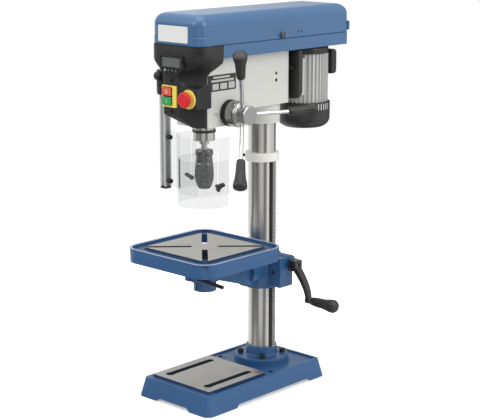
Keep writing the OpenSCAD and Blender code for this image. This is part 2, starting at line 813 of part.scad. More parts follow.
// Plan of the control panel: a slanting right side runs back from the switch to the casting
module panel_plan(w, front, back, r_x)
    polygon([[-w / 2, back], [-w / 2, front + 4], [-w / 2 + 4, front], [r_x, front],
             [w / 2, back - 6], [w / 2, back]]);

module front_cover() {
    t = sheet_t;
    back = casting_front - gap / 4;
    wing_back = casting_front + 18;
    estop_box_x = 4;
    estop_box = [estop_z - 23, estop_z + 42];
    top = lid_z - gap;
    color(black_plastic) difference() {
        union() {
            // The wide brow under the lid narrows down to the panel
            hull() {
                round_block(lid_w, [lid_y0, pan_y0], [brow_z, top], lid_corner, 1);
                round_block(panel_w, [panel_y, back], [brow_z - 26, brow_z - 25], 8, 1);
            }
            translate([0, 0, panel_z]) linear_extrude(brow_z - 25 - panel_z)
                panel_plan(panel_w, panel_y, back, estop_box_x);
            // A pod carries the depth readout
            block([readout_x - readout_w / 2 + 2, readout_x + readout_w / 2 - 2], [lid_y0, lid_y0 + 12],
                  [readout_z - readout_h / 2 + 2, readout_z]);
            // The box behind the emergency stop, with wings along the casting
            block([estop_box_x - 3, panel_w / 2], [panel_y, back], estop_box);
            block([head_w / 2 + gap / 4, panel_w / 2], [back - 1, wing_back], estop_box);
            // The chin slopes back to the nose
            hull() {
                translate([0, 0, panel_z]) linear_extrude(1)
                    panel_plan(panel_w, panel_y, back, estop_box_x);
                block([panel_w / 2 - 28, panel_w / 2 - 1], [back - 6, back], [nose_z + 1, nose_z + 2]);
                block([panel_w / 2 - 28, panel_w / 2 - 26], [back - 22, back], [nose_z + 1, nose_z + 2]);
            }
        }
        // Hollow behind the panel, and room for the casting, the belt pan and the belt
        hull() {
            round_block(lid_w - 2 * t, [lid_y0 + t, pan_y0 + 1], [brow_z, top + 1], lid_corner - t, 1);
            round_block(panel_w - 2 * t, [panel_y + t, back + 1], [brow_z - 26, brow_z - 25], 8 - t, 1);
        }
        translate([0, 0, panel_z + t]) linear_extrude(brow_z - 25 - panel_z)
            panel_plan(panel_w - 2 * t, panel_y + t, back + 1, estop_box_x - t);
        block([estop_box_x - 1, panel_w / 2 - t], [panel_y + t, back + 1],
              [estop_box[0] + t, estop_box[1] - t]);
        block([-head_w / 2 - gap / 4, head_w / 2 + gap / 4], [back, pan_y0 + 1], [nose_z - 1, top]);
        for (p = cover_screw_places)
            rod_y([p[0], panel_y - 2, p[1]], 12, 4 + 2 * fit);
        // Seats of the switch, the emergency stop and the readout's cable
        rod_y([estop_x, panel_y - 1, estop_z], t + 2, estop_neck_d + 2 * fit);
        block([button_x - button_w / 2 - gap, button_x + button_w / 2 + 6], [panel_y - 1, panel_y + t + 1],
              [switch_z - button_h - 2, switch_z + button_h + 2]);
    }
}

switch_x = -panel_w / 2 + switch_w / 2;
button_x = switch_x - 6;
button_stem_d = 8;
switch_depth = 22;
switch_z = feed_z + 46;
estop_x = panel_w / 2 - estop_ring_d / 2 - 0.5;
estop_z = feed_z + 44;
estop_neck_d = 22;
cover_screw_places = [[switch_x + 5, switch_z + 40], [switch_x + 5, switch_z - 38]];

module cover_screws()
    color([0.1, 0.1, 0.1])
        for (p = cover_screw_places)
            translate([p[0], panel_y, p[1]]) rotate([90, 0, 0]) cap_screw(4, 8, 3, 8);

readout_x = -9;
readout_z = brow_z - 3;

module depth_readout() {
    t = 5;
    color([0.16, 0.16, 0.17]) difference() {
        translate([readout_x, lid_y0, readout_z]) rotate([90, 0, 0]) linear_extrude(t)
            polygon([for (i = [-1, 1], k = [0 : 4])
                let (corners = [[0.42, -1], [0.5, -0.75], [0.5, 0.75], [0.42, 1], [0.1, 1]],
                     corner = corners[i < 0 ? k : 4 - k])
                [-i * corner[0] * readout_w, corner[1] * readout_h / 2]]);
        // Recess for the screen and holes for the keys
        block([readout_x - readout_w / 2 + 5, readout_x + readout_w / 2 - 5],
              [lid_y0 - t - 1, lid_y0 - t + 1.2], [readout_z - 6, readout_z + readout_h / 2 - 5]);
        for (x = key_x)
            rod_y([x, lid_y0 - t - 1, key_z], t, key_d + 2 * gap);
        key_mat([lid_y0 - 3, lid_y0 + 1], gap);
    }
}

module key_mat(y, g)
    block([key_x[0] - 7 - g, key_x[3] + 7 + g], y, [key_z - 6 - g, key_z + 6 + g]);

key_x = [for (i = [0 : 3]) readout_x - 21 + 13 * i];
key_z = readout_z - 15;
key_d = 7;

// One moulded keypad: a thin mat with four keys
module readout_keypad()
    color([0.3, 0.3, 0.31]) {
        key_mat([lid_y0 - 3 + gap, lid_y0 - 1.6], 0);
        for (x = key_x)
            rod_y([x, lid_y0 - 6, key_z], 4, key_d);
    }

// A yellow plate carries the switch body behind the panel
module switch_plate() {
    side_x = button_x + button_w / 2 + gap;
    body_y = panel_y + 7;
    color("gold") difference() {
        union() {
            block([switch_x - switch_w / 2, switch_x + switch_w / 2], [panel_y - 4, panel_y],
                  [switch_z - switch_h / 2, switch_z + switch_h / 2]);
            block([side_x, side_x + 5], [panel_y - 1, panel_y + switch_depth],
                  [switch_z - 20, switch_z + 20]);
            block([button_x - 10, side_x + 1], [body_y, panel_y + switch_depth],
                  [switch_z - 20, switch_z + 20]);
        }
        for (s = [-1, 1]) {
            button_room(s, [panel_y - 5, panel_y + 1], gap);
            rod_y([button_x, body_y - 1, switch_z + s * button_step], switch_depth,
                  button_stem_d + 2 * fit);
        }
    }
}

button_step = button_h / 2 + 1.5;

module button_room(s, y, g)
    block([button_x - button_w / 2 - g, button_x + button_w / 2 + g], y,
          [switch_z + s * button_step - button_h / 2 - g, switch_z + s * button_step + button_h / 2 + g]);

module switch_button(s) {
    button_room(s, [panel_y - 8, panel_y + 1], 0);
    rod_y([button_x, panel_y, switch_z + s * button_step], 18, button_stem_d);
}

module start_button() color("seagreen") switch_button(-1);
module stop_button() color("tomato") switch_button(1);

module estop_base()
    color("gold") difference() {
        union() {
            rod_y([estop_x, panel_y - 4, estop_z], 4, estop_ring_d);
            rod_y([estop_x, panel_y - 5, estop_z], 3, estop_neck_d + 6);
            rod_y([estop_x, panel_y - 1, estop_z], 18, estop_neck_d);
        }
        rod_y([estop_x, panel_y - 20, estop_z], 60, estop_stem_d + 2 * fit);
    }

estop_stem_d = 14;

module estop_button()
    color("crimson") translate([estop_x, panel_y - 22, estop_z]) rotate([-90, 0, 0])
        rotate_extrude()
            polygon([[0, 0], [estop_d / 2 - 5, 0.5], [estop_d / 2 - 1, 3], [estop_d / 2, 6],
                     [estop_d / 2 - 3, 11.5], [estop_stem_d / 2, 11.5], [estop_stem_d / 2, 31], [0, 31]]);

// Belt housing

hinge_d = 9;
hinge_pin_d = 5;
hinge_x = -lid_w / 2 - hinge_d / 2 - 1.5;
hinge_l = 20;
hinge_places = [spindle_y + 100, column_y + 120];

module belt_pan() {
    t = sheet_t;
    tongue_w = 116;
    color(paint) difference() {
        union() {
            difference() {
                round_block(lid_w, [pan_y0 + gap, lid_y1], [head_top, lid_z], 1, lid_back_corner);
                round_block(lid_w - 2 * t, [pan_y0 - 10, lid_y1 - t], [head_top + t, lid_z + 1], 1,
                            lid_back_corner - t);
            }
            // A narrower tongue reaches forward inside the front cover
            block([-tongue_w / 2, tongue_w / 2], [spindle_y - 66, pan_y0 + 5], [head_top, head_top + t]);
            for (y = hinge_places) {
                rod_y([hinge_x, y, lid_z], hinge_l, hinge_d);
                rod_y([hinge_x, y, lid_z], 2 * hinge_l + gap, hinge_pin_d);
                block([hinge_x, -lid_w / 2 + 1], [y, y + hinge_l], [lid_z - hinge_d / 2, lid_z - 0.5]);
            }
        }
        rod_z([0, spindle_y, head_top - 1], 20, sleeve_d + 14);
        rod_z([0, idler_y, head_top - 1], 20, idler_shaft_d + 8);
        block([-16, 16], [motor_y - 16, motor_y + 30], [head_top - 1, head_top + t + 1]);
        rod_z([0, motor_y - 16, head_top - 1], t + 2, 32);
        rod_z([0, motor_y + 30, head_top - 1], t + 2, 32);
    }
}

latch_y = column_y - 22;
latch_z = lid_z + 11;
latch_d = 9;

module belt_lid() {
    t = sheet_t;
    z0 = lid_z + gap;
    color(paint) difference() {
        union() {
            difference() {
                lid_form(0, z0, lid_z + lid_h);
                lid_form(t, z0 - 1, lid_z + lid_h - t);
            }
            block([20, 58], [lid_y1 - 1, lid_y1 + 4], [lid_z + 11, lid_z + 36]);
            for (y = hinge_places) {
                rod_y([hinge_x, y + hinge_l + gap, lid_z], hinge_l, hinge_d);
                block([hinge_x, -lid_w / 2 + 1], [y + hinge_l + gap, y + 2 * hinge_l + gap],
                      [lid_z + gap, lid_z + hinge_d / 2]);
            }
        }
        for (y = hinge_places)
            rod_y([hinge_x, y + hinge_l, lid_z], hinge_l + 2, hinge_pin_d + 2 * fit);
        rod_x([lid_w / 2 - t - 1, latch_y, latch_z], t + 2, latch_d + 2 * fit);
    }
}

// Body of the lid: upright sides, then a bevel up to the flat top
module lid_form(t, z0, z1)
    hull() {
        round_block(lid_w - 2 * t, [lid_y0 + t, lid_y1 - t], [z0, lid_z + lid_side_h],
                    lid_corner - t, lid_back_corner - t);
        round_block(lid_w - 2 * lid_bevel, [lid_y0 + lid_bevel + t, lid_y1 - 8],
                    [lid_z + lid_side_h, z1], 16, 8);
    }

module lid_latch()
    color(black_plastic) {
        rod_x([lid_w / 2 - sheet_t - 4, latch_y, latch_z], sheet_t + 4, latch_d);
        rod_x([lid_w / 2 + gap, latch_y, latch_z], 8, 16);
        rod_x([lid_w / 2 - 0.01, latch_y, latch_z], 0.02 + gap, latch_d);
        block([lid_w / 2 - sheet_t - 4.5, lid_w / 2 - sheet_t - 1.5], [latch_y - 5, latch_y + 5],
              [latch_z - 20, latch_z + 5]);
    }

// Stepped pulley: grows upwards when rising is true, otherwise downwards
function step_d(i, rising) = pulley_small_d + pulley_step_d * (rising ? i : pulley_steps - 1 - i);
groove = belt_t - 1;

module pulley(rising)
    for (i = [0 : pulley_steps - 1])
        rotate_extrude()
            let (r = step_d(i, rising) / 2, z = i * step_h, e = (step_h - belt_w) / 2 - 1)
            polygon([[0, z], [r, z], [r, z + e], [r - groove, z + e + 0.7],
                     [r - groove, z + step_h - e - 0.7], [r, z + step_h - e], [r, z + step_h],
                     [0, z + step_h]]);

module spindle_pulley() {
    color(steel) translate([0, spindle_y, 0]) difference() {
        union() {
            translate([0, 0, pulley_z]) pulley(true);
            translate([0, 0, quill_z + quill_l + 5])
                cylinder(h = pulley_z - quill_z - quill_l - 4, d = sleeve_d);
        }
        translate([0, 0, head_z]) cylinder(h = lid_z + lid_h - head_z, d = spline_d + 2 * fit);
    }
}

module idler_pulley()
    color(steel) translate([0, idler_y, 0]) {
        translate([0, 0, pulley_z]) pulley(false);
        translate([0, 0, head_top - 49]) cylinder(h = pulley_z - head_top + 50, d = idler_shaft_d);
    }

module motor_pulley()
    color(steel) translate([0, motor_y, 0]) {
        translate([0, 0, pulley_z]) pulley(true);
        translate([0, 0, motor_z + 10]) cylinder(h = pulley_z - motor_z - 9, d = motor_shaft_d);
    }

motor_shaft_d = 19;

// A belt runs round two pulleys on the same step
module belt(y0, d0, y1, d1, step) {
    z = pulley_z + step * step_h + (step_h - belt_w) / 2;
    grow = function (d) d / 2 - groove + gap;
    color([0.1, 0.1, 0.1]) translate([0, 0, z]) linear_extrude(belt_w) difference() {
        belt_loop(y0, grow(d0) + belt_t, y1, grow(d1) + belt_t);
        belt_loop(y0, grow(d0), y1, grow(d1));
    }
}

module belt_loop(y0, r0, y1, r1)
    hull() {
        translate([0, y0]) circle(r = r0, $fn = 72);
        translate([0, y1]) circle(r = r1, $fn = 72);
    }

module spindle_belt() belt(spindle_y, step_d(2, true), idler_y, step_d(2, false), 2);
module motor_belt() belt(idler_y, step_d(1, false), motor_y, step_d(1, true), 1);

// Motor

motor_plate_back = 64;
motor_plate_t = 16;
motor_plate_corner = 22;
motor_plate_y = [column_y + motor_plate_back, column_y + motor_plate_back + motor_plate_t];
foot_w = 90;

module motor_body() {
    r = motor_d / 2;
    cap_h = 11;
    color("silver") difference() {
        union() {
            translate([0, motor_y, motor_z]) linear_extrude(motor_h - cap_h)
                polygon([for (i = [0 : motor_fins - 1], k = [0 : 3])
                    let (a = 360 * (i + [0.08, 0.2, 0.42, 0.54][k]) / motor_fins,
                         f = k == 1 || k == 2 ? r : r - fin_depth)
                    [f * cos(a), f * sin(a)]]);
            translate([0, motor_y, motor_z]) cylinder(h = motor_h, r = r - fin_depth);
            block([-foot_w / 2, foot_w / 2], [motor_plate_y[1], motor_y - 30],
                  [motor_z + 24, motor_z + motor_h - 20]);
            block([-box_pad, box_pad], [motor_y + 40, box_y], [box_z[0] + 5, box_z[1] - 12]);
        }
        rod_z([0, motor_y, motor_z + 9], motor_h, motor_shaft_d + 2 * fit);
    }
}

module fan_cover() {
    r = fan_cover_d / 2;
    t = 2;
    z0 = motor_z - fan_cover_h;
    round_r = 26;
    color(black_plastic) translate([0, motor_y, z0]) difference() {
        rotate_extrude() difference() {
            fan_cover_half(r, 0, fan_cover_h, round_r);
            fan_cover_half(r - t, t, fan_cover_h - t, round_r - t);
            square([motor_d / 2 - 12, fan_cover_h + 1]);
        }
    }
    // Grille under the fan
    color(black_plastic) translate([0, motor_y, z0]) difference() {
        cylinder(h = t, r = motor_d / 2 - 12);
        for (a = [0 : 30 : 330])
            rotate(a) block([18, motor_d / 2 - 16], [-3, 3], [-1, t + 1]);
    }
}

module fan_cover_half(r, z0, z1, round_r)
    intersection() {
        union() {
            translate([0, z0 + round_r]) square([r, z1 - z0 - round_r]);
            translate([0, z0]) square([r - round_r, z1 - z0]);
            translate([r - round_r, z0 + round_r]) circle(r = round_r);
        }
        translate([0, z0]) square([r, z1 - z0]);
    }

module motor_plate() {
    color([0.15, 0.15, 0.16]) {
        difference() {
            translate([0, motor_plate_y[1], 0]) rotate([90, 0, 0])
                linear_extrude(motor_plate_y[1] - motor_plate_y[0])
                    hull() {
                        for (s = [-1, 1]) {
                            translate([s * (motor_plate_w / 2 - motor_plate_corner), motor_z + 42])
                                circle(r = motor_plate_corner);
                            translate([s * (motor_plate_w / 2 - 4), head_top - 8]) circle(r = 4);
                        }
                    }
            for (s = [-1, 1])
                rod_y([s * slide_rod_x, motor_plate_y[0] - 1, slide_rod_z], 40, slide_rod_d);
        }
        for (s = [-1, 1])
            rod_y([s * slide_rod_x, casting_back - slide_rod_in, slide_rod_z],
                  motor_plate_y[1] - casting_back + slide_rod_in, slide_rod_d);
    }
}

gland_d = 16;
box_pad = 32;
box_y = motor_y + motor_d / 2 + 2;
box_h = 67;
box_z = [motor_z + motor_h - 5 - box_h, motor_z + motor_h - 5];

module terminal_box() {
    box_w = 100;
    gland_x = 36;
    gland_in = 9;
    wing_y = motor_y + motor_d / 2 - 7;
    y1 = lid_y1 - 2;
    color([0.26, 0.26, 0.27]) difference() {
        union() {
            round_block(box_w, [wing_y, y1], box_z, 1, 6);
            rod_z([-gland_x, y1 - gland_in, box_z[0] - 12], 13, gland_d + 2);
        }
        block([-box_pad - gap, box_pad + gap], [wing_y - 1, box_y], [box_z[0] - 1, box_z[1] + 1]);
        rod_z([-gland_x, y1 - gland_in, box_z[0] - 13], 30, gland_d - 6);
    }
}

// Feed

feed_w = 21;

module feed_hub() {
    spring_side = -head_w / 2 - 26;
    neck_x = 19;
    color(steel) difference() {
        union() {
            rod_x([spring_side, feed_y, feed_z], -spring_side - neck_x, feed_shaft_d);
            rod_x([neck_x, feed_y, feed_z], hub_x + scale_w - neck_x, feed_shaft_d);
            rod_x([-neck_x - 1, feed_y, feed_z], 2 * neck_x + 2,
                  2 * (feed_y - spindle_y - quill_d / 2 - gap));
            translate([-feed_w / 2, feed_y, feed_z]) rotate([0, 90, 0]) rotate(-90)
                linear_extrude(feed_w) gear_outline(feed_teeth, feed_module);
            translate([hub_x + scale_w, feed_y, feed_z]) rotate([0, 90, 0]) rotate_extrude()
                polygon([[0, 0], [scale_d / 2 - 3, 0], [scale_d / 2 - 3, 5], [scale_d / 2 - 5, 6],
                         [hub_d / 2, 6], [hub_d / 2, hub_l - 2], [hub_d / 2 - 2, hub_l], [0, hub_l]]);
        }
        for (i = [0 : 2]) lever_place(i) cylinder(h = 60, d = lever_d + 2 * fit);
    }
}

// Axis of one lever: it starts in the hub and leans outwards
module lever_place(i)
    translate([hub_x + scale_w + 9, feed_y, feed_z])
        rotate([120 * i - 90, 0, 0]) rotate([0, lever_lean, 0]) translate([0, 0, 12]) children();

module scale_ring()
    color("gainsboro") difference() {
        rod_x([hub_x, feed_y, feed_z], scale_w - gap / 4, scale_d);
        rod_x([hub_x - 1, feed_y, feed_z], scale_w + 2, feed_shaft_d + 2 * fit);
    }

module lever_rods()
    color("silver") for (i = [0 : 2]) lever_place(i) cylinder(h = lever_l - 32, d = lever_d);

module lever_grips()
    color(black_plastic) for (i = [0 : 2])
        lever_place(i) translate([0, 0, lever_l - 12 - grip_l])
            difference() {
                rotate_extrude() grip_half(21, grip_d, grip_l, 0, 2);
                translate([0, 0, -1]) cylinder(h = grip_l - 19, d = lever_d + 2 * fit);
            }

module spring_can()
    color(black_plastic) difference() {
        translate([-head_w / 2, feed_y, feed_z]) rotate([0, -90, 0]) rotate_extrude()
            polygon([[0, 0], [33, 0], [33, 24], [30, 28], [0, 28]]);
        rod_x([-head_w / 2 - 24, feed_y, feed_z], 30, 56);
        rod_x([-head_w / 2 - 27, feed_y, feed_z], 10, feed_shaft_d + 2 * fit);
    }

// Quill, spindle and chuck

module quill() {
    stop_z = nose_z - 19;
    flat = quill_pitch + feed_module;
    color(steel) difference() {
        union() {
            difference() {
                rod_z([0, spindle_y, quill_z], quill_l, quill_d);
                block([-feed_w / 2 - 0.5, feed_w / 2 + 0.5],
                      [spindle_y + flat - 2.25 * feed_module, spindle_y + quill_d],
                      [stop_z + 16, quill_z + quill_l - 6]);
            }
            translate([feed_w / 2, spindle_y, 0]) rotate([90, 0, -90]) mirror([1, 0, 0])
                linear_extrude(feed_w) translate([flat - 8, 0])
                    rack_outline(8, stop_z + 14, quill_z + quill_l - 6, feed_module, feed_z);
            rod_z([0, spindle_y, stop_z], 7, quill_d + 5);
        }
        rod_z([0, spindle_y, quill_z - 1], quill_l + 2, spindle_d + 2 * fit);
    }
}

arbor_d = 16;

module spindle()
    color(steel) translate([0, spindle_y, 0]) {
        translate([0, 0, quill_z - 10]) cylinder(h = quill_l + 12, d = spindle_d);
        translate([0, 0, quill_z + quill_l])
            cylinder(h = pulley_z + pulley_steps * step_h - 8 - quill_z - quill_l, d = spline_d);
        translate([0, 0, chuck_top - 14]) cylinder(h = quill_z - chuck_top + 10, d = arbor_d);
    }

core_z = chuck_z + 39;
core_d = 30;
sleeve_top = chuck_top - 17;

module chuck_body()
    color([0.3, 0.3, 0.3]) translate([0, spindle_y, 0]) difference() {
        union() {
            translate([0, 0, sleeve_top + gap]) rotate_extrude()
                polygon([[0, 0], [chuck_d / 2 - 3.5, 0], [chuck_d / 2 - 1.5, 4],
                         [chuck_d / 2 - 1.5, 13 - gap], [chuck_d / 2 - 5, 17 - gap], [0, 17 - gap]]);
            translate([0, 0, core_z]) cylinder(h = sleeve_top - core_z + 1, d = core_d);
        }
        translate([0, 0, chuck_top - 14]) cylinder(h = 30, d = arbor_d + 2 * fit);
    }

jaw_r = 10.6;
jaw_w = 7;
mouth_d = 2 * jaw_r + 1.4;

module chuck_sleeve()
    color([0.28, 0.28, 0.28]) translate([0, spindle_y, 0]) difference() {
        translate([0, 0, chuck_z]) rotate_extrude()
            let (l = sleeve_top - chuck_z, r = chuck_d / 2)
            polygon(concat([[0, 0]],
                [for (i = [0 : 16]) let (u = i / 16, v = abs(u - 0.45) / 0.55)
                    [r - (u < 0.45 ? 9.5 * pow(v / 0.818, 2.6) : 4.5 * pow(v, 1.6)), l * u]],
                [[0, l]]));
        translate([0, 0, core_z - 0.5]) cylinder(h = 100, d = core_d + 2 * fit);
        translate([0, 0, chuck_z - 1]) cylinder(h = 100, d = mouth_d);
    }

module chuck_jaw(i)
    color([0.5, 0.5, 0.5]) translate([0, spindle_y, chuck_z + 1]) rotate(120 * i + 30)
        linear_extrude(core_z - chuck_z - 1 - gap)
            polygon([[jaw_open, 0], [jaw_open + jaw_w / 2 / tan(60), jaw_w / 2], [jaw_r, jaw_w / 2],
                     [jaw_r, -jaw_w / 2], [jaw_open + jaw_w / 2 / tan(60), -jaw_w / 2]]);

module chuck_jaw_1() chuck_jaw(0);
module chuck_jaw_2() chuck_jaw(1);
module chuck_jaw_3() chuck_jaw(2);

// Guard

swivel_h = 44;
ring_h = 12;
post_hole = profile_s + 2 * gap;

module guard_bracket()
    color(black_plastic) difference() {
        union() {
            rod_z([profile_x, profile_y, swivel_z - ring_h], ring_h, swivel_d);
            block([profile_x, -head_w / 2], [profile_y - 14, profile_y + 14], [swivel_z - ring_h, swivel_z]);
            block([-head_w / 2 - 8, -head_w / 2], [profile_y - 14, profile_y + 14],
                  [swivel_z - ring_h, swivel_z + 40]);
        }
        rod_z([profile_x, profile_y, swivel_z - 50], 100, swivel_d - 8 + 2 * fit);
    }

module guard_swivel() {
    color(black_plastic) difference() {
        union() {
            rod_z([profile_x, profile_y, swivel_z + gap], swivel_h, swivel_d);
            rod_z([profile_x, profile_y, swivel_z - ring_h - 4], ring_h + 5, swivel_d - 8);
            rod_z([profile_x, profile_y, swivel_z - ring_h - 6], 6 - gap, swivel_d - 2);
        }
        block([profile_x - post_hole / 2, profile_x + post_hole / 2],
              [profile_y - post_hole / 2, profile_y + post_hole / 2], [swivel_z - 60, swivel_z + 100]);
        rod_y([profile_x, profile_y - swivel_d, knob_z], swivel_d, knob_stud_d + 2 * fit);
    }
}

knob_stud_d = 8;
knob_d = 26;
knob_t = 12;
knob_z = swivel_z + 31;

module guard_knob()
    color(black_plastic) {
        rod_y([profile_x, profile_y - profile_s / 2 - gap - 22, knob_z], 22, knob_stud_d);
        translate([profile_x, profile_y - swivel_d / 2 - gap, knob_z]) rotate([90, 0, 0]) difference() {
            cylinder(h = knob_t, d = knob_d);
            for (a = [0 : 60 : 300])
                rotate(a) translate([knob_d / 2 + 1.5, 0, -1]) cylinder(h = knob_t + 2, d = 7);
        }
    }

module guard_profile()
    color("silver") difference() {
        block([profile_x - profile_s / 2, profile_x + profile_s / 2],
              [profile_y - profile_s / 2, profile_y + profile_s / 2],
              [profile_z + 6, swivel_z + swivel_h + 4]);
        for (a = [0 : 90 : 270])
            translate([profile_x, profile_y, 0]) rotate(a)
                block([profile_s / 2 - 5, profile_s / 2 + 1], [-4.5, 4.5], [profile_z, swivel_z + 100]);
    }

module profile_cap()
    color(black_plastic) block([profile_x - profile_s / 2, profile_x + profile_s / 2],
                               [profile_y - profile_s / 2, profile_y + profile_s / 2],
                               [profile_z, profile_z + 6]);

// Upright sheet round the spindle's axis between two angles
module shield_arc(r, t, z0, z1, from, to)
    translate([0, spindle_y, z0]) rotate(from) rotate_extrude(angle = to - from, $fn = 96)
        translate([r - t, 0]) square([t, z1 - z0]);

tab_x = profile_x + profile_s / 2;
tab_screw_z = [upper_shield_top - 16, upper_shield_z + 14];
shield_from = 150;
shield_to = 378;
tab_angle = 196;
slot_angle = [-16, 163];
slot_z = [upper_shield_z + 12, upper_shield_top - 20];

module upper_shield() {
    sheet = [upper_shield_z, upper_shield_top];
    end = [(shield_r - 0.6) * cos(tab_angle), spindle_y + (shield_r - 0.6) * sin(tab_angle)];
    color([0.9, 0.95, 1, 0.4]) difference() {
        union() {
            shield_arc(shield_r, shield_t, upper_shield_z, upper_shield_top, shield_from, shield_to);
            // A tab runs slanting out to the profile and turns along it
            translate([0, 0, sheet[0]]) linear_extrude(sheet[1] - sheet[0])
                polygon([[tab_x, profile_y + profile_s / 2], [tab_x, profile_y + profile_s / 2 - shield_t],
                         end, end + [0, shield_t]]);
            block([tab_x, tab_x + shield_t], [profile_y - profile_s / 2, profile_y + profile_s / 2], sheet);
        }
        for (z = tab_screw_z) rod_x([tab_x - 1, profile_y - 2, z], 10, tab_screw_d + 2 * fit);
        for (a = slot_angle) translate([0, spindle_y, 0]) rotate(a)
            block([shield_r - 10, shield_r + 5], [-3, 3], slot_z);
    }
}

module lower_shield() {
    r = shield_r - shield_t - gap;
    color([0.9, 0.95, 1, 0.4]) difference() {
        shield_arc(r, shield_t, lower_shield_z, lower_shield_top, shield_from, shield_to);
        for (a = slot_angle) translate([0, spindle_y, wing_z]) rotate([0, 90, a])
            translate([0, 0, r - 10]) cylinder(h = 20, d = wing_d + 2 * fit);
    }
}

tab_screw_d = 4;
wing_z = upper_shield_z + 24;
wing_d = 5;

module shield_screws()
    color([0.1, 0.1, 0.1]) for (z = tab_screw_z)
        translate([tab_x + shield_t, profile_y - 2, z]) rotate([0, 90, 0]) cap_screw(tab_screw_d, 12, 11, 5);

module wing_screws()
    color(black_plastic) for (a = slot_angle)
        translate([0, spindle_y, wing_z]) rotate([0, 90, a])
            translate([0, 0, shield_r + gap]) {
                translate([0, 0, -9]) cylinder(h = 9.01, d = wing_d);
                translate([0, 0, -9]) cylinder(h = 2.6, d = 9);
                cylinder(h = 5, d = 11);
                translate([-1.5, -10, 4]) cube([3, 20, 9]);
            }

base();
column_flange();
flange_bolts();
set_screws();
column();
column_rack();
rack_collar();
table_arm();
arm_lock_lever();
worm_shaft();
lift_pinion();
crank_arm();
crank_grip();
tilt_bolt();
table_bracket();
table_clamp_lever();
table();
head_casting();
front_cover();
cover_screws();
depth_readout();
readout_keypad();
switch_plate();
start_button();
stop_button();
estop_base();
estop_button();
belt_pan();
belt_lid();
lid_latch();
spindle_pulley();
idler_pulley();
motor_pulley();
spindle_belt();
motor_belt();
motor_body();
fan_cover();
motor_plate();
terminal_box();
feed_hub();
scale_ring();
lever_rods();
lever_grips();
spring_can();
quill();
spindle();
chuck_body();
chuck_sleeve();
chuck_jaw_1();
chuck_jaw_2();
chuck_jaw_3();
guard_bracket();
guard_swivel();
guard_knob();
guard_profile();
profile_cap();
upper_shield();
lower_shield();
shield_screws();
wing_screws();
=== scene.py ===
# %% [markdown]
# # A bench pillar drill
# The solids of the drill come in first and stay where they are: they carry the sizes and the joints.
# Every later cell gives one piece its finish, or makes a finer surface that stands in for a plain solid.

# %% Load the solids
import math

import bmesh
import bpy
import numpy as np
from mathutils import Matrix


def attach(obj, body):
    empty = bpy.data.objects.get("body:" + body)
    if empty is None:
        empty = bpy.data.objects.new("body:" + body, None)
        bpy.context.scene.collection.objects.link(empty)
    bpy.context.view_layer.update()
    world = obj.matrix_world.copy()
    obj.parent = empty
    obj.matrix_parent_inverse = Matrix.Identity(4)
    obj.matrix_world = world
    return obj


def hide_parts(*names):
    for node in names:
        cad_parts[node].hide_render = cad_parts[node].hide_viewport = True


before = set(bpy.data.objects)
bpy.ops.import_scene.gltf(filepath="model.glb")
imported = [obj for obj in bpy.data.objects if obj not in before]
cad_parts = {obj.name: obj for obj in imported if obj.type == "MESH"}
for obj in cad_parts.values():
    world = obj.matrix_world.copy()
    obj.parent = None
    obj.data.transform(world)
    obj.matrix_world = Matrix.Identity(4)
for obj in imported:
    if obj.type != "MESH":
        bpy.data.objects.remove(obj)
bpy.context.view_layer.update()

# %% [markdown]
# ## The machine's main axes
# Four upright axes and one crosswise axis place nearly everything, so they are named once, in millimetres.
# The column, the spindle, the motor and the guard's post stand upright; the feed shaft runs from side to side.

# %% Axes and levels
COLUMN_Y, SPINDLE_Y, MOTOR_Y = 65.0, -154.5, 233.0
FEED_Y, FEED_Z = -120.5, 758.0
POST_X, POST_Y = -125.0, -171.5
LID_FRONT, LID_BACK, LID_Z, LID_TOP, LID_HALF = -256.0, 316.0, 934.4, 1011.0, 88.0
PANEL_Y, CASTING_SIDE = -241.5, 55.0
print("spindle to column", COLUMN_Y - SPINDLE_Y, "mm")

# %% [markdown]
# ## Shader arithmetic
# A finish is a sum of small effects: a slow cloud of colour, a fine grain, a worn edge.
# Written as nodes by hand that is long and hard to read, so one class wraps a socket and lets Python's own
# operators add the Math nodes. Every other node comes from its one method `node`.

# %% The socket class
class Sock:
    """A socket of a material. Sums and products of sockets add Math nodes; node() adds any other kind."""

    def __init__(self, tree, socket=None):
        self.tree, self.socket = tree, socket

    def node(self, kind, settings=None, feeds=None, out=0):
        """Add a node, make its settings, feed its inputs with values or sockets, and give one output."""
        n = self.tree.nodes.new("ShaderNode" + kind)
        for key, value in (settings or {}).items():
            if key == "stops":
                while len(n.color_ramp.elements) < len(value):
                    n.color_ramp.elements.new(0.5)
                for stop, (place, shade) in zip(n.color_ramp.elements, value):
                    stop.position, stop.color = place, shade
            else:
                setattr(n, key, value)
        for key, value in (feeds or {}).items():
            if isinstance(value, Sock):
                self.tree.links.new(value.socket, n.inputs[key])
            else:
                n.inputs[key].default_value = value
        return Sock(self.tree, n.outputs[out])

    def math(self, operation, a, b=0.0):
        return self.node("Math", {"operation": operation}, {0: a, 1: b})

    def __add__(self, other): return self.math("ADD", self, other)
    def __radd__(self, other): return self.math("ADD", other, self)
    def __sub__(self, other): return self.math("SUBTRACT", self, other)
    def __rsub__(self, other): return self.math("SUBTRACT", other, self)
    def __mul__(self, other): return self.math("MULTIPLY", self, other)
    def __rmul__(self, other): return self.math("MULTIPLY", other, self)
    def __truediv__(self, other): return self.math("DIVIDE", self, other)
    def __pow__(self, other): return self.math("POWER", self, other)
    def __gt__(self, other): return self.math("GREATER_THAN", self, other)
    def __lt__(self, other): return self.math("LESS_THAN", self, other)
    def __abs__(self): return self.math("ABSOLUTE", self)

    def parts(self):
        """The three numbers of a vector."""
        first = self.node("SeparateXYZ", feeds={0: self})
        return [Sock(self.tree, s) for s in first.socket.node.outputs]


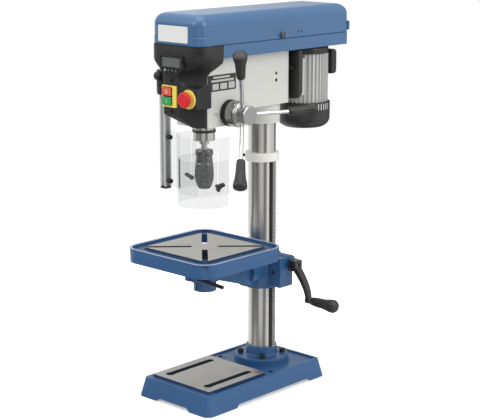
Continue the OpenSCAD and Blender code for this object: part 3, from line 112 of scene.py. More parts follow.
def mix(mask, a, b):
    """Colour a where the mask is 0, colour b where it is 1."""
    return mask.node("Mix", {"data_type": "RGBA"}, {0: mask, 6: a, 7: b}, 2)


def ramp(value, low, high):
    """0 below low, 1 above high and a smooth slope between them."""
    return value.node("MapRange", {"interpolation_type": "SMOOTHSTEP"}, {0: value, 1: low, 2: high})


def noise(place, scale, detail=2.0, stretch=None):
    """A cloud from 0 to 1; stretch scales the three directions of space."""
    if stretch:
        place = place.node("Mapping", feeds={0: place, "Scale": stretch})
    return place.node("TexNoise", feeds={"Vector": place, "Scale": scale, "Detail": detail})


def hue(code, gain=1.0):
    """A screen colour as the linear light that the shader works in."""
    s = np.array([int(code[i:i + 2], 16) for i in (1, 3, 5)]) / 255
    light = np.where(s < 0.04045, s / 12.92, ((s + 0.055) / 1.055) ** 2.4) * gain
    return (*np.minimum(light, 1.0), 1.0)


finishes = {}


def finish(name, recipe, **fixed):
    """A material: fixed values go straight on the shader, and the recipe feeds what changes over the surface."""
    m = bpy.data.materials.new(name)
    m.use_nodes = True
    shader = m.node_tree.nodes["Principled BSDF"]
    for key, value in fixed.items():
        shader.inputs[key.replace("_", " ")].default_value = value
    place = Sock(m.node_tree).node("TexCoord", out="Object")
    for key, value in recipe(place).items():
        if isinstance(value, Sock):
            m.node_tree.links.new(value.socket, shader.inputs[key])
        else:
            shader.inputs[key].default_value = value
    finishes[name] = m
    return m


def rounded_edges(place, radius):
    """The surface's direction with its sharp edges eased, and a mask that is 1 along those edges."""
    soft = place.node("Bevel", {"samples": 6}, {"Radius": radius})
    true = place.node("NewGeometry", out="Normal")
    along = place.node("VectorMath", {"operation": "DOT_PRODUCT"}, {0: soft, 1: true}, "Value")
    return soft, ramp(1 - along, 0.02, 0.18)


def bumped(height, strength, depth, soft=None):
    feeds = {"Height": height, "Strength": strength, "Distance": depth}
    if soft:
        feeds["Normal"] = soft
    return height.node("Bump", feeds=feeds)

# %% [markdown]
# ## Painted castings and sheet
# The blue and the off-white parts are enamelled. Enamel is thick and a little glossy, it lies over the faint
# roughness of the casting, and along edges it is thinner; there the edges are painted a shade paler, partly
# wear and partly a painted highlight.

# %% Enamel
def enamel(name, code, grain, gloss, edge=0.0016):
    def recipe(place):
        soft, edge_wear_and_highlight = rounded_edges(place, edge)
        cloud = noise(place, 5.0)
        fine = noise(place, 420.0, 3.0)
        tone = mix(cloud, hue(code, 0.93), hue(code, 1.06))
        # edges painted paler: partly wear, partly a painted highlight
        tone = mix(edge_wear_and_highlight * 0.55, tone, hue(code, 1.7))
        return {"Base Color": tone, "Roughness": gloss + 0.1 * fine,
                "Normal": bumped(fine, grain, 0.0005, soft)}
    finish(name, recipe, Coat_Weight=0.25, Coat_Roughness=0.12)


BLUE = "#2D5B8B"
enamel("blue casting", BLUE, 0.22, 0.36)
# the sheet blue is a lighter, greyer copy of the casting blue: partly the sheet's own paint, partly painted light
# and sheen on the lid
enamel("blue sheet", "#446C97", 0.06, 0.3)
enamel("off-white casting", "#DEDED8", 0.14, 0.4)
enamel("off-white collar", "#F6F6F0", 0.08, 0.42)
enamel("satin black paint", "#272625", 0.1, 0.4, 0.001)
print("enamels", len(finishes))

# %% [markdown]
# ## Bare metal
# Ground steel keeps fine scratches that run round a shaft or along a face, and those scratches spread its
# reflections one way. Stretching a noise one way gives them; chrome has almost none.

# %% Steel, iron, chrome and aluminium
def scratched(name, code, stretch, rough, spread, edge=0.0008, metal=1.0, tone=0.12, **fixed):
    def recipe(place):
        soft = rounded_edges(place, edge)[0]
        lines = noise(place, 1.0, 3.0, stretch)
        cloud = noise(place, 9.0)
        shade = mix(lines, hue(code, 1 - tone), hue(code, 1 + tone))
        return {"Base Color": shade, "Roughness": rough + spread * (lines + cloud - 1.0),
                "Normal": bumped(lines, 0.05, 0.0002, soft)}
    finish(name, recipe, Metallic=metal, **fixed)


scratched("polished steel", "#D0CFCB", (30, 30, 2200), 0.26, 0.06, Anisotropic=0.8, Anisotropic_Rotation=0.25)
scratched("bright chrome", "#D6D6D5", (1500, 80, 80), 0.2, 0.06, tone=0.06)
scratched("turned steel", "#B5B4B0", (1600, 60, 60), 0.26, 0.08)
scratched("scale steel", "#9A9995", (1600, 60, 60), 0.16, 0.05)
scratched("faced steel", "#A2A29F", (60, 900, 900), 0.46, 0.08, metal=0.6)
scratched("blued steel", "#726F6D", (60, 60, 1400), 0.24, 0.06)
scratched("jaw steel", "#77767A", (60, 60, 900), 0.34, 0.06)
scratched("cast aluminium", "#D0D0CE", (300, 300, 500), 0.4, 0.1, metal=0.4)
scratched("post aluminium", "#D3D4D4", (900, 900, 20), 0.36, 0.08, metal=0.2)


TOOTH_FOOT, TOOTH_TIP = 0.0442, 0.0458


def rack_steel(place):
    """Bright tooth tips over gaps between the teeth that are painted dark, a painted shade."""
    x = place.parts()[0]
    grain = noise(place, 700.0)
    tips = mix(grain, hue("#CFCECA"), hue("#E2E1DD"))
    return {"Base Color": mix(ramp(x, TOOTH_FOOT, TOOTH_TIP), hue("#4B4A48"), tips),
            "Roughness": 0.36 + 0.1 * grain}


finish("rack steel", rack_steel, Metallic=0.3)
print("metals", len(finishes))

# %% [markdown]
# ## Plastics and rubber
# Moulded covers have a fine spark-eroded grain; grips and knobs are smoother. The switch plate, the buttons and
# the emergency stop are glossy. Each is a colour with a slow variation, a grain in the bump and a soft edge.

# %% Plastics
def moulded(name, code, grain, gloss, edge=0.0012, scale=1300.0):
    def recipe(place):
        soft, edge_wear_and_highlight = rounded_edges(place, edge)
        cloud = noise(place, 14.0)
        fine = noise(place, scale, 2.0)
        tone = mix(cloud, hue(code, 0.9), hue(code, 1.1))
        # edges painted paler: partly wear, partly a painted highlight
        tone = mix(edge_wear_and_highlight * 0.35, tone, hue(code, 1.8))
        return {"Base Color": tone, "Roughness": gloss + 0.12 * fine,
                "Normal": bumped(fine, grain, 0.0003, soft)}
    finish(name, recipe)


moulded("grained black plastic", "#242424", 0.3, 0.42)
moulded("smooth black plastic", "#2B2A2A", 0.12, 0.36)
moulded("bezel black plastic", "#131314", 0.08, 0.3)
moulded("grey silicone", "#5A5B5F", 0.1, 0.5)
moulded("belt rubber", "#1D1D1E", 0.3, 0.6)
moulded("yellow plastic", "#FDE468", 0.05, 0.3)
moulded("red plastic", "#DD1F2E", 0.05, 0.28)
moulded("coral plastic", "#E5604C", 0.05, 0.3)
moulded("green plastic", "#35A75B", 0.05, 0.3)
moulded("oxide black", "#1F1E1E", 0.06, 0.36)
# painted shadow: this near-black stands for the screws' own black and for the shade inside their recesses
moulded("shadow black", "#0A0A0A", 0.05, 0.6)


def clear_sheet(place):
    """Clear plastic: a thin grey veil face on, a little more of it at a slant and most along the cut edges."""
    cut = rounded_edges(place, 0.001)[1]
    slant = place.node("LayerWeight", feeds={"Blend": 0.35}, out="Facing")
    haze = noise(place, 30.0)
    return {"Base Color": mix(haze, hue("#888C8E"), hue("#989C9E")), "Roughness": 0.06 + 0.05 * haze,
            "Alpha": 0.068 + 0.2 * cut + 0.1 * slant ** 4.0 + 0.02 * haze}


finish("clear plastic", clear_sheet, IOR=1.49)
print("finishes", len(finishes))

# %% Small finishes of the panel
def plate_metal(place):
    brush = noise(place, 1.0, 2.0, (40, 1500, 40))
    return {"Base Color": mix(brush, hue("#B9B9B6"), hue("#D8D8D5")), "Roughness": 0.3 + 0.12 * brush}


def screen_glass(place):
    """A grey liquid-crystal screen, a little darker towards its rim, under a thin glossy window."""
    x = place.parts()[0]
    rim = ramp(abs(x + 0.009) / 0.036, 0.78, 0.86)
    return {"Base Color": mix(rim + 0.25 * noise(place, 60.0), hue("#6C7172"), hue("#414546")),
            "Roughness": 0.14}


def key_rubber(place):
    """Dark soft keys; the first one is pale."""
    x = place.parts()[0]
    grain = noise(place, 900.0)
    dark = mix(grain, hue("#4D4E50"), hue("#58595B"))
    return {"Base Color": mix(x < -0.024, dark, hue("#A9A9A8")), "Roughness": 0.45 + 0.1 * grain}


def printed(code):
    return lambda place: {"Base Color": mix(noise(place, 300.0), hue(code, 0.94), hue(code)), "Roughness": 0.5}


finish("etched plate", plate_metal, Metallic=0.6)
finish("screen glass", screen_glass, Coat_Weight=0.6, Coat_Roughness=0.05)
finish("key rubber", key_rubber)
finish("white ink", printed("#F4F2EE"))
finish("blank plate", printed("#EFEFEC"), Coat_Weight=0.2)
print("finishes with the panel's", len(finishes))

# %% [markdown]
# ## Ground faces
# The table and the base are painted castings whose working faces are ground bare. A mask from the height and the
# place picks the bare metal, and a second mask paints the slots dark, a painted shade where little light gets in.

# %% Ground faces on painted castings
def ground_face(name, level, half_x, y_range, slots, lip_wear_and_highlight, smudge, gutter):
    """Paint everywhere, bare iron on the ground face, slots dark with painted shade; slots(x, y) is 1 inside
    them.
    Round the ground face lies a gutter of the given width, where painted shade darkens the paint."""
    def recipe(place):
        x, y, z = place.parts()
        soft, edge_wear_and_highlight = rounded_edges(place, 0.0016)
        top = (z > level) * (abs(x) < half_x) * (y > y_range[0]) * (y < y_range[1])
        cloud = noise(place, 5.0)
        fine = noise(place, 420.0, 3.0)
        marks = noise(place, 1.0, 3.0, (60, 1800, 60))
        paint = mix(cloud, hue(BLUE, 0.93), hue(BLUE, 1.06))
        # edges painted paler: partly wear, partly a painted highlight
        paint = mix(edge_wear_and_highlight * 0.55, paint, hue(BLUE, 1.7))
        # the top of the lip is painted pale blue-white: partly wear, partly a painted highlight
        paint = mix((z > level) * (1 - top) * lip_wear_and_highlight, paint, hue("#9DB0C9"))
        near = (abs(x) < half_x + gutter) * (y > y_range[0] - gutter) * (y < y_range[1] + gutter)
        # painted shade: the gutter below the ground face is painted dark navy
        paint = mix(near * (z < level) * (z > level - 0.009) * 0.75, paint, hue("#1B3355"))
        iron = mix(marks, hue("#AFADA7"), hue("#C3C1BB"))
        iron = mix(ramp(noise(place, 16.0), 0.45, 0.75) * 0.25, iron, hue("#938D83"))
        far = ((x - smudge[0]) * (x - smudge[0]) + (y - smudge[1]) * (y - smudge[1])) ** 0.5
        stain = (1 - ramp(far + 0.02 * noise(place, 60.0), 0.012, 0.036)) * 0.8
        iron = mix(stain, iron, hue("#6A5140"))
        # painted shade: the insides of the slots are painted near black and rougher
        inside = slots(x, y) * (z < level) * (z > level - 0.024)
        return {"Base Color": mix(inside, mix(top, paint, iron), hue("#142130")), "Metallic": 0.75 * top,
                "Roughness": 0.36 + 0.1 * fine + top * (0.08 + 0.1 * marks) + inside * 0.4,
                "Normal": bumped(fine * (1 - top) + marks * top * 0.4, 0.2, 0.0004, soft)}
    finish(name, recipe, Coat_Weight=0.1, Coat_Roughness=0.12)


def table_slots(x, y):
    """Four slots along the diagonals, from 31 mm out to the corners of the ground square."""
    middle = -SPINDLE_Y / 1000
    p, q = 0.7071 * (x + y + middle), 0.7071 * (x - y - middle)
    along, across = p.math("MAXIMUM", abs(p), abs(q)), p.math("MINIMUM", abs(p), abs(q))
    return (across < 0.0086) * (along > 0.031) * (along < 0.153)


def base_slots(x, y):
    """Two slots along the plate with the holes at their front ends, and the two bench holes beside the column."""
    aside = abs(x) - 0.093
    hole = aside * aside + y * y < 0.0068 ** 2
    return aside.math("MAXIMUM", hole, (abs(abs(x) - 0.07) < 0.0127) * (y > -0.2345) * (y < -0.05))


ground_face("table finish", 0.4055, 0.1115, (-0.266, -0.043), table_slots, 0.8, (0.5, 0.5), 0.03)
ground_face("base finish", 0.0565, 0.1035, (-0.25, -0.03), base_slots, 0.0, (0.092, -0.044), 0.0)
print("finishes with the ground faces", len(finishes))

# %% [markdown]
# ## Tools for shapes
# Nearly every piece of a machine is one of three kinds: a turned part, a plate with a rounded rim, or a casting
# whose section changes along an axis. All three are rings of points joined by quads, so one function joins them.
# Sizes are in millimetres here, as on a drawing, and become metres when a piece is made.

# %% Rings of points
def loft(rings, caps=(True, True), ring_closed=True):
    """Rings[k, j] are points; quads join point j of ring k to its neighbour j + 1 and to ring k + 1."""
    rings = np.asarray(rings, float)
    k, n = rings.shape[:2]
    j = np.arange(n if ring_closed else n - 1)
    low = np.arange(k - 1)[:, None] * n
    a, b = low + j, low + (j + 1) % n
    faces = np.stack([a, b, b + n, a + n], -1).reshape(-1, 4).tolist()
    ends = [np.arange(n)[::-1].tolist(), np.arange((k - 1) * n, k * n).tolist()]
    return rings.reshape(-1, 3), faces + [end for end, wanted in zip(ends, caps) if wanted]


def turned(points, axis):
    """Points made along Z, with their third number along the axis wanted; the order of turning is kept."""
    return points[..., {"z": [0, 1, 2], "x": [2, 0, 1], "y": [1, 2, 0]}[axis]]


def lathe(r, h, at=(0, 0, 0), axis="z", steps=64, ring=False):
    """Radius r at height h turned round an axis: (r cos a, r sin a, h). r may also change with the angle a."""
    r, h = np.asarray(r, float), np.asarray(h, float)
    a = np.arange(steps) * 2 * np.pi / steps
    r = np.broadcast_to(r[:, None] if r.ndim == 1 else r, (len(h), steps))
    rings = np.stack([r * np.cos(a), r * np.sin(a), h[:, None] + 0 * r], -1)
    rings = np.concatenate([rings, rings[:1]]) if ring else rings
    points, faces = loft(turned(rings, axis), (not ring, not ring))
    return points + at, faces


# %% Outlines
def rounded(u0, u1, v0, v1, radii, steps=8):
    """A rectangle whose corners are quarter circles, counter-clockwise from the lower left one."""
    r = np.broadcast_to(np.asarray(radii, float), 4)[:, None]
    corner = np.array([[u0, v0], [u1, v0], [u1, v1], [u0, v1]], float)
    centre = corner + r * np.array([[1, 1], [-1, 1], [-1, -1], [1, -1]])
    a = np.radians([180, 270, 0, 90])[:, None] + np.linspace(0, np.pi / 2, steps)
    return (centre[:, None] + r[:, None] * np.stack([np.cos(a), np.sin(a)], -1)).reshape(-1, 2)


def eased(points, r, steps=6, closed=True):
    """Each corner P becomes a curve (1-t)^2 A + 2t(1-t) P + t^2 B between points A and B that lie r from it."""
    p = np.asarray(points, float)
    r = np.broadcast_to(np.asarray(r, float), len(p))[:, None]
    ahead, behind = np.roll(p, -1, 0) - p, np.roll(p, 1, 0) - p
    reach = [np.linalg.norm(e, axis=1, keepdims=True) + 1e-9 for e in (behind, ahead)]
    a = p + behind / reach[0] * np.minimum(r, 0.49 * reach[0])
    b = p + ahead / reach[1] * np.minimum(r, 0.49 * reach[1])
    t = np.linspace(0, 1, steps)[None, :, None]
    curve = (1 - t) ** 2 * a[:, None] + 2 * t * (1 - t) * p[:, None] + t ** 2 * b[:, None]
    if closed:
        return curve.reshape(-1, p.shape[1])
    return np.concatenate([p[:1], curve[1:-1].reshape(-1, p.shape[1]), p[-1:]])


def inset(outline, d):
    """Every point moves inwards so that both of its edges move by d: along (n1 + n2) / (1 + n1.n2)."""
    edge = np.roll(outline, -1, 0) - outline
    n = np.stack([-edge[:, 1], edge[:, 0]], 1)
    n = n / np.maximum(np.linalg.norm(n, axis=1, keepdims=True), 1e-9)
    m = n + np.roll(n, 1, 0)
    return outline + d * m / np.maximum((m * m).sum(1, keepdims=True) / 2, 0.2)


def slab(outline, lo, hi, edge=0.0, axis="z", steps=4):
    """A plate from lo to hi along an axis; its rim turns in by `edge` on a quarter circle at both ends.
    The outline is seen from above, from the right (y, z) or from the front (x, z)."""
    flat = outline[::-1, ::-1] if axis == "y" else outline
    t = np.linspace(0, np.pi / 2, steps)
    if edge == 0:
        t = t[-1:]
    inward = edge * (1 - np.sin(np.concatenate([t, t[::-1]])))
    lift = edge * (1 - np.cos(t))
    level = np.concatenate([lo + lift, (hi - lift)[::-1]])
    rings = np.stack([np.c_[inset(flat, d), np.full(len(flat), w)] for d, w in zip(inward, level)])
    return loft(turned(rings, axis))


def aimed(shape, at, way):
    """A shape made along +Z, turned to run along another direction and moved to a point."""
    w = np.asarray(way, float) / np.linalg.norm(way)
    side = np.cross([0, 0, 1] if abs(w[2]) < 0.9 else [1, 0, 0], w)
    side = side / np.linalg.norm(side)
    return shape[0] @ np.stack([side, np.cross(w, side), w]) + at, shape[1]


def swung(shape, degrees, centre=(0, 0, 0)):
    """A shape turned round an upright axis, (x cos a - y sin a, x sin a + y cos a, z), and moved to a centre."""
    a = math.radians(degrees)
    turn = np.array([[math.cos(a), math.sin(a), 0], [-math.sin(a), math.cos(a), 0], [0, 0, 1]])
    return shape[0] @ turn + centre, shape[1]


def moved_up(shape, d):
    return shape[0] + [0, 0, d], shape[1]


def flipped(shape):
    """The faces turned inside out, for a profile that runs against its axis."""
    return shape[0], [face[::-1] for face in shape[1]]


# %% From points to a piece on a body
def piece(name, shapes, body, look, stands_for=(), crease=38):
    """Join shapes into one mesh, merge its seams and poles, shade it smooth up to a crease, put it on a body."""
    starts = np.cumsum([0] + [len(points) for points, _ in shapes])
    faces = [[int(s) + i for i in face] for s, (_, part) in zip(starts, shapes) for face in part]
    me = bpy.data.meshes.new(name)
    me.from_pydata((np.concatenate([points for points, _ in shapes]) / 1000).tolist(), [], faces)
    bm = bmesh.new()
    bm.from_mesh(me)
    bmesh.ops.remove_doubles(bm, verts=bm.verts, dist=2e-6)
    bm.to_mesh(me)
    bm.free()
    return placed(name, me, body, look, stands_for, crease)


def placed(name, me, body, look, stands_for=(), crease=38):
    me.shade_smooth()
    me.set_sharp_from_angle(angle=math.radians(crease))
    me.materials.append(finishes[look])
    o = bpy.data.objects.new(name, me)
    bpy.context.scene.collection.objects.link(o)
    even = o.modifiers.new("even shading", "WEIGHTED_NORMAL")
    even.keep_sharp = True
    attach(o, body)
    if stands_for:
        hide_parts(*stands_for)
    print(name, len(me.polygons), "faces")
    return o


# %% Castings with rounded edges
MERGE, FLAT = 3e-6, math.radians(1.5)


def softened(node, width, look, body, corner=30, segments=2):
    """A copy of a solid whose loose triangles are merged, flat faces joined and sharp edges rounded off."""
    bm = bmesh.new()
    bm.from_mesh(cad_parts[node].data)
    bmesh.ops.remove_doubles(bm, verts=bm.verts, dist=MERGE)
    bmesh.ops.dissolve_limit(bm, angle_limit=FLAT, verts=bm.verts, edges=bm.edges, delimit=set())
    hard = [e for e in bm.edges if e.is_manifold and e.calc_face_angle(0) > math.radians(corner)]
    bmesh.ops.bevel(bm, geom=hard, offset=width / 1000, offset_type="OFFSET", segments=segments, profile=0.5,
                    affect="EDGES", clamp_overlap=True, loop_slide=True)
    bmesh.ops.remove_doubles(bm, verts=bm.verts, dist=MERGE)
    me = bpy.data.meshes.new(node + "_soft")
    bm.to_mesh(me)
    bm.free()
    return placed(node + "_soft", me, body, look, (node,))


# %% [markdown]
# ## The belt lid
# The lid is a pressed sheet box: upright sides with a faint step, round front corners and a large soft bend up to
# the flat top. A box with a bevel would have the same radius everywhere, so the lid is a stack of rounded
# rectangles, each a little smaller than the one below, and Solidify gives the sheet its thickness on the inside.

# %% The lid's shell
def lid_ring(s, z):
    """The lid's outline at height z, s inside its widest one; its front corners are the rounder ones."""
    front, back = 26 - 0.6 * s, 13 - 0.25 * s
    flat = rounded(-LID_HALF + s, LID_HALF - s, LID_FRONT + s, LID_BACK - s,
                   np.maximum([front, front, back, back], 2), 10)
    return np.c_[flat, np.full(len(flat), z)]


bend, step_in, step_z = 27.0, 0.9, 955.0
quarter = np.linspace(0, np.pi / 2, 10)
shrink = np.concatenate([[1.5, 0.0, 0.0, step_in], step_in + bend * (1 - np.cos(quarter))])
heights = np.concatenate([[LID_Z, LID_Z + 1.7, step_z, step_z + 1.2], LID_TOP - bend + bend * np.sin(quarter)])
lid_rings = np.stack([lid_ring(s, z) for s, z in zip(shrink, heights)])
lid = piece("lid_shell", [loft(lid_rings, (False, True))], "lid", "blue sheet", ["belt_lid"])
wall = lid.modifiers.new("sheet", "SOLIDIFY")
wall.thickness, wall.offset, wall.use_even_offset = 0.0026, -1.0, True
lid.modifiers.move(1, 0)

# %% Hinges, stop and small screws of the lid
HINGE_X, PAN_TOP = -94.0, 934.0
hinge_spans = [(y, y + 20) for y in (-34.1, 205.4)]
knuckles = [lathe([2.55, 4.5, 4.5, 2.55], [y0, y0, y1, y1], (HINGE_X, 0, PAN_TOP), "y", 24, True)
            for y0, y1 in hinge_spans]
leaves = [slab(rounded(HINGE_X + 3.4, -LID_HALF + 0.5, y0, y1, 0.6, 3), PAN_TOP + 0.6, PAN_TOP + 3.8, 0.3)
          for y0, y1 in hinge_spans]
stop = slab(rounded(44, 86, 939, 964, 4), LID_BACK - 1, LID_BACK + 6, 1.6, "y")
piece("lid_fittings", knuckles + leaves + [stop], "lid", "blue sheet")


def screw_head(r, height):
    """A low domed head: its radius is r cos t at the height h sin t, for t up to a quarter turn."""
    t = np.linspace(0, np.pi / 2, 6)
    radii, levels = np.concatenate([[0, r], r * np.cos(t)]), np.concatenate([[-1, -1], height * np.sin(t)])
    return lathe(radii, levels, steps=20)


TO_RIGHT = (1, 0, 0)
lid_screws = [aimed(screw_head(2.6, 1.6), (LID_HALF - 0.2, y, 949.6), TO_RIGHT) for y in (106.4, 120.0)]
piece("lid_screws", lid_screws, "lid", "oxide black")
name_plate = slab(rounded(-58, 46, 941.5, 982.0, 2), LID_FRONT - 0.5, LID_FRONT + 1.2, 0.2, "y")
piece("lid_plate", [name_plate], "lid", "blank plate")

# %% The latch
LATCH_Y, LATCH_Z = 43.0, 945.0
LATCH = (LID_HALF, LATCH_Y, LATCH_Z)
knob = lathe([0, 6.5, 8, 8, 7, 0], [0.6, 0.6, 1.6, 6.4, 8.2, 8.4], LATCH, "x", 40)
grip_bar = slab(rounded(LATCH_Y - 1.6, LATCH_Y + 1.6, LATCH_Z - 6.5, LATCH_Z + 6.5, 1.2, 4),
                LID_HALF + 8.0, LID_HALF + 8.4, 0.15, "x")
stem = lathe([0, 4.4, 4.4, 0], [-7, -7, 0.7, 0.7], LATCH, "x", 24)
tongue = slab(rounded(LATCH_Y - 5, LATCH_Y + 5, LATCH_Z - 20, LATCH_Z + 5, 3),
              LID_HALF - 7.5, LID_HALF - 4.5, 0.6, "x")
piece("latch_knob", [knob, stem, tongue], "latch", "grey silicone", ["lid_latch"])
piece("latch_mark", [grip_bar], "latch", "oxide black")

# %% [markdown]
# ## The front cover
# A moulded cover closes the head at the front. Seen from above its section changes all the way up: a blunt nose
# at the chin, a flat panel with a slanting right side, a square box behind the emergency stop, a scoop above it,
# and a wide brow with round corners under the lid. A stack of open sections, each a polyline with eased corners,
# follows all of that.

# %% Sections of the cover
BACK_Y = -201.2
# Height, half width, front, where the front turns, where the side turns, back on the left, back on the right,
# corner, and for the chin how far its left end has come in
sections = [
    (727.0, 58.0, -202.4, 56.0, -202.2, BACK_Y, BACK_Y, 0.5, 86.0),
    (727.6, 58.5, -223.0, 32.0, -207.0, BACK_Y, BACK_Y, 2.0, 86.0),
    (742.0, 58.5, -232.4, 18.0, -207.0, BACK_Y, BACK_Y, 3.0, 44.0),
    (756.0, 58.5, -241.0, 4.0, -207.0, BACK_Y, BACK_Y, 5.0, 2.0),
    (759.0, 58.5, -241.5, 4.0, -207.0, BACK_Y, BACK_Y, 5.0),
    (776.0, 58.5, -241.5, 4.0, -207.0, BACK_Y, BACK_Y, 5.0),
    (777.6, 58.5, -241.5, 53.5, -236.5, BACK_Y, -186.5, 4.0),
    (824.0, 58.5, -241.5, 53.5, -236.5, BACK_Y, -186.5, 4.0),
    (828.0, 58.5, -241.5, 50.0, -233.0, BACK_Y, -187.5, 5.0),
    (833.0, 58.5, -241.5, 22.0, -214.0, BACK_Y, -199.0, 8.0),
    (842.0, 58.5, -241.5, 7.0, -207.0, BACK_Y, BACK_Y, 9.0),
    (857.0, 58.8, -242.2, 5.0, -207.0, BACK_Y, -200.0, 10.0),
    (866.0, 64.0, -245.2, 14.0, -206.0, -197.0, -196.0, 14.0),
    (878.0, 76.0, -251.0, 38.0, -213.0, -186.0, -184.5, 20.0),
    (890.0, 86.0, -255.2, 57.0, -225.5, -174.5, -174.0, 26.0),
    (896.0, 88.0, -256.0, 62.0, -230.0, -173.2, -173.2, 26.0),
    (901.0, 88.0, -256.0, 62.0, -230.0, -173.2, -173.2, 26.0),
    (902.5, 88.0, -256.0, 62.0, -230.0, -173.2, -173.2, 26.0),
    (933.6, 88.0, -256.0, 62.0, -230.0, -173.2, -173.2, 26.0),
]


def cover_section(z, half, front, turn_x, turn_y, back_left, back_right, corner, come_in=0.0):
    """From the casting on the left, round the front, to the casting on the right."""
    hold = half - 0.6 if z > 902 else 55.2
    left = come_in - half
    path = [(max(left, -hold), back_left), (left, back_left), (left, front), (turn_x, front), (half, turn_y),
            (half, back_right), (hold, back_right)]
    curve = eased(path, [0, 1.5, corner, corner, corner, 1.5, 0], 8, closed=False)
    return np.c_[curve, np.full(len(curve), z)]


skin = loft(np.stack([cover_section(*s) for s in sections]), (False, False), False)
cover = piece("cover_shell", [skin], "stand", "grained black plastic", ["front_cover"],
              crease=50)
wall = cover.modifiers.new("moulded wall", "SOLIDIFY")
wall.thickness, wall.offset = 0.0028, -1.0
cover.modifiers.move(1, 0)

# %% Screws of the cover
corner_way = np.array([math.sqrt(0.5), -math.sqrt(0.5), 0])
corner_at = np.array([62, -230.0, 920.5]) + 25.4 * corner_way
# the screws are painted near-black: their own black and the painted shade of their recesses
piece("brow_screw", [aimed(screw_head(5.6, 0.8), corner_at, corner_way)], "stand", "shadow black")
side_screws = [aimed(screw_head(r, 0.5), (CASTING_SIDE, 59, z), TO_RIGHT) for r, z in ((3.6, 842), (4.6, 824))]
piece("side_screws", side_screws, "stand", "shadow black")

# %% [markdown]
# ## The control panel
# The depth readout is a small moulded case with a recessed screen and soft keys. The switch is a yellow plate
# with a red and a green button, and the emergency stop is a red mushroom on a yellow ring. A recessed plate is
# one loft: the outer outline, then the same number of points round the recess, then its floor.

# %% The readout
def spaced(outline, n, towards=(-1, -1)):
    """n points at equal steps along an outline, from its point that lies farthest towards a direction."""
    first = int(np.argmax(outline @ np.asarray(towards, float)))
    loop = np.roll(outline, -first, 0)
    loop = np.concatenate([loop, loop[:1]])
    way = np.concatenate([[0], np.cumsum(np.linalg.norm(np.diff(loop, axis=0), axis=1))])
    s = np.arange(n) * way[-1] / n
    return np.stack([np.interp(s, way, loop[:, 0]), np.interp(s, way, loop[:, 1])], 1)


def recessed(outline, window, back, front, depth, edge, n=160):
    """A case seen from the front (x, z): its rim is rounded by edge, and a window is sunk into its face."""
    outer, inner = spaced(outline, n), spaced(window, n)
    t = np.linspace(0, np.pi / 2, 4)[::-1]
    rings = [(outer, back)]
    rings += [(inset(outer, edge * (1 - s)), front + edge * (1 - c)) for s, c in zip(np.sin(t), np.cos(t))]
    rings += [(inset(inner, -0.5), front), (inner, front + 0.5), (inner, front + depth)]
    stack = np.stack([np.c_[flat[:, 0], np.full(n, y), flat[:, 1]] for flat, y in rings])
    return loft(stack)


READOUT_X, READOUT_Z, READOUT_FRONT = -9.0, 887.0, -261.0
half_case = np.array([[25, -24.5], [37, -17], [42.5, -8], [42.5, 17], [36, 24.5], [12, 24.5], [8, 21.5]])
case = np.concatenate([half_case, half_case[::-1] * [-1, 1]]) + [READOUT_X, READOUT_Z]
case = eased(case, 2.5, 5)
screen = rounded(READOUT_X - 36, READOUT_X + 36, READOUT_Z - 7, READOUT_Z + 17, 2.5)
piece("readout_case", [recessed(case, screen, LID_FRONT + 0.2, READOUT_FRONT, 1.6, 1.4)], "stand",
      "bezel black plastic", ["depth_readout"])
piece("readout_screen", [slab(inset(screen, 0.4), READOUT_FRONT + 0.9, READOUT_FRONT + 1.5, 0.2, "y")], "stand",
      "screen glass")
pod = slab(inset(case, 3.0), LID_FRONT + 0.1, LID_FRONT + 13.5, 1.0, "y")
piece("readout_pod", [pod], "stand", "grained black plastic")
KEYS_X, KEY_Z = READOUT_X - 21 + 13 * np.arange(4), READOUT_Z - 15
key_r, key_h = [0, 2.2, 3.2, 3.5, 3.5, 0], [-1, -0.95, -0.6, -0.1, 2.5, 2.5]
keys = [lathe(key_r, key_h, (x, READOUT_FRONT, KEY_Z), "y", 28) for x in KEYS_X]
piece("readout_keys", keys, "keys", "key rubber", ["readout_keypad"])

# %% The switch
BUTTON_X, SWITCH_Z, PLATE_FRONT = -38.5, 804.0, PANEL_Y - 4
plate = rounded(-58.5, -6.5, SWITCH_Z - 27.5, SWITCH_Z + 27.5, 3)
well = rounded(BUTTON_X - 17, BUTTON_X + 17, SWITCH_Z - 23.4, SWITCH_Z + 23.4, 2.5)
piece("switch_frame", [recessed(plate, well, PANEL_Y, PLATE_FRONT, 3.2, 1.0)], "stand",
      "yellow plastic", ["switch_plate"])
well_floor = slab(inset(well, 0.3), PANEL_Y - 0.9, PANEL_Y - 0.75, 0, "y")
piece("switch_well", [well_floor], "stand", "smooth black plastic")
KEY_FRONT, STOP_Z, START_Z = PANEL_Y - 8, SWITCH_Z + 12, SWITCH_Z - 12


def button(z):
    """A cushion-shaped key: a rounded rectangle whose rim turns in on a quarter circle of 1.9 mm."""
    outline = rounded(BUTTON_X - 16, BUTTON_X + 16, z - 10.5, z + 10.5, 2.6)
    return slab(outline, KEY_FRONT, PANEL_Y - 4.2, 1.9, "y", 6)


piece("stop_key", [button(STOP_Z)], "stop", "coral plastic", ["stop_button"])
piece("start_key", [button(START_Z)], "start", "green plastic", ["start_button"])
ring_mark = lathe([3.4, 4.6, 4.6, 3.4], [-0.12, -0.12, 0.3, 0.3], (BUTTON_X, KEY_FRONT, STOP_Z), "y", 40, True)
piece("stop_mark", [ring_mark], "stop", "white ink")
bar_mark = slab(rounded(BUTTON_X - 0.8, BUTTON_X + 0.8, START_Z - 4.5, START_Z + 4.5, 0.3, 2),
                PANEL_Y - 8.12, PANEL_Y - 7.7, 0, "y")
piece("start_mark", [bar_mark], "start", "white ink")

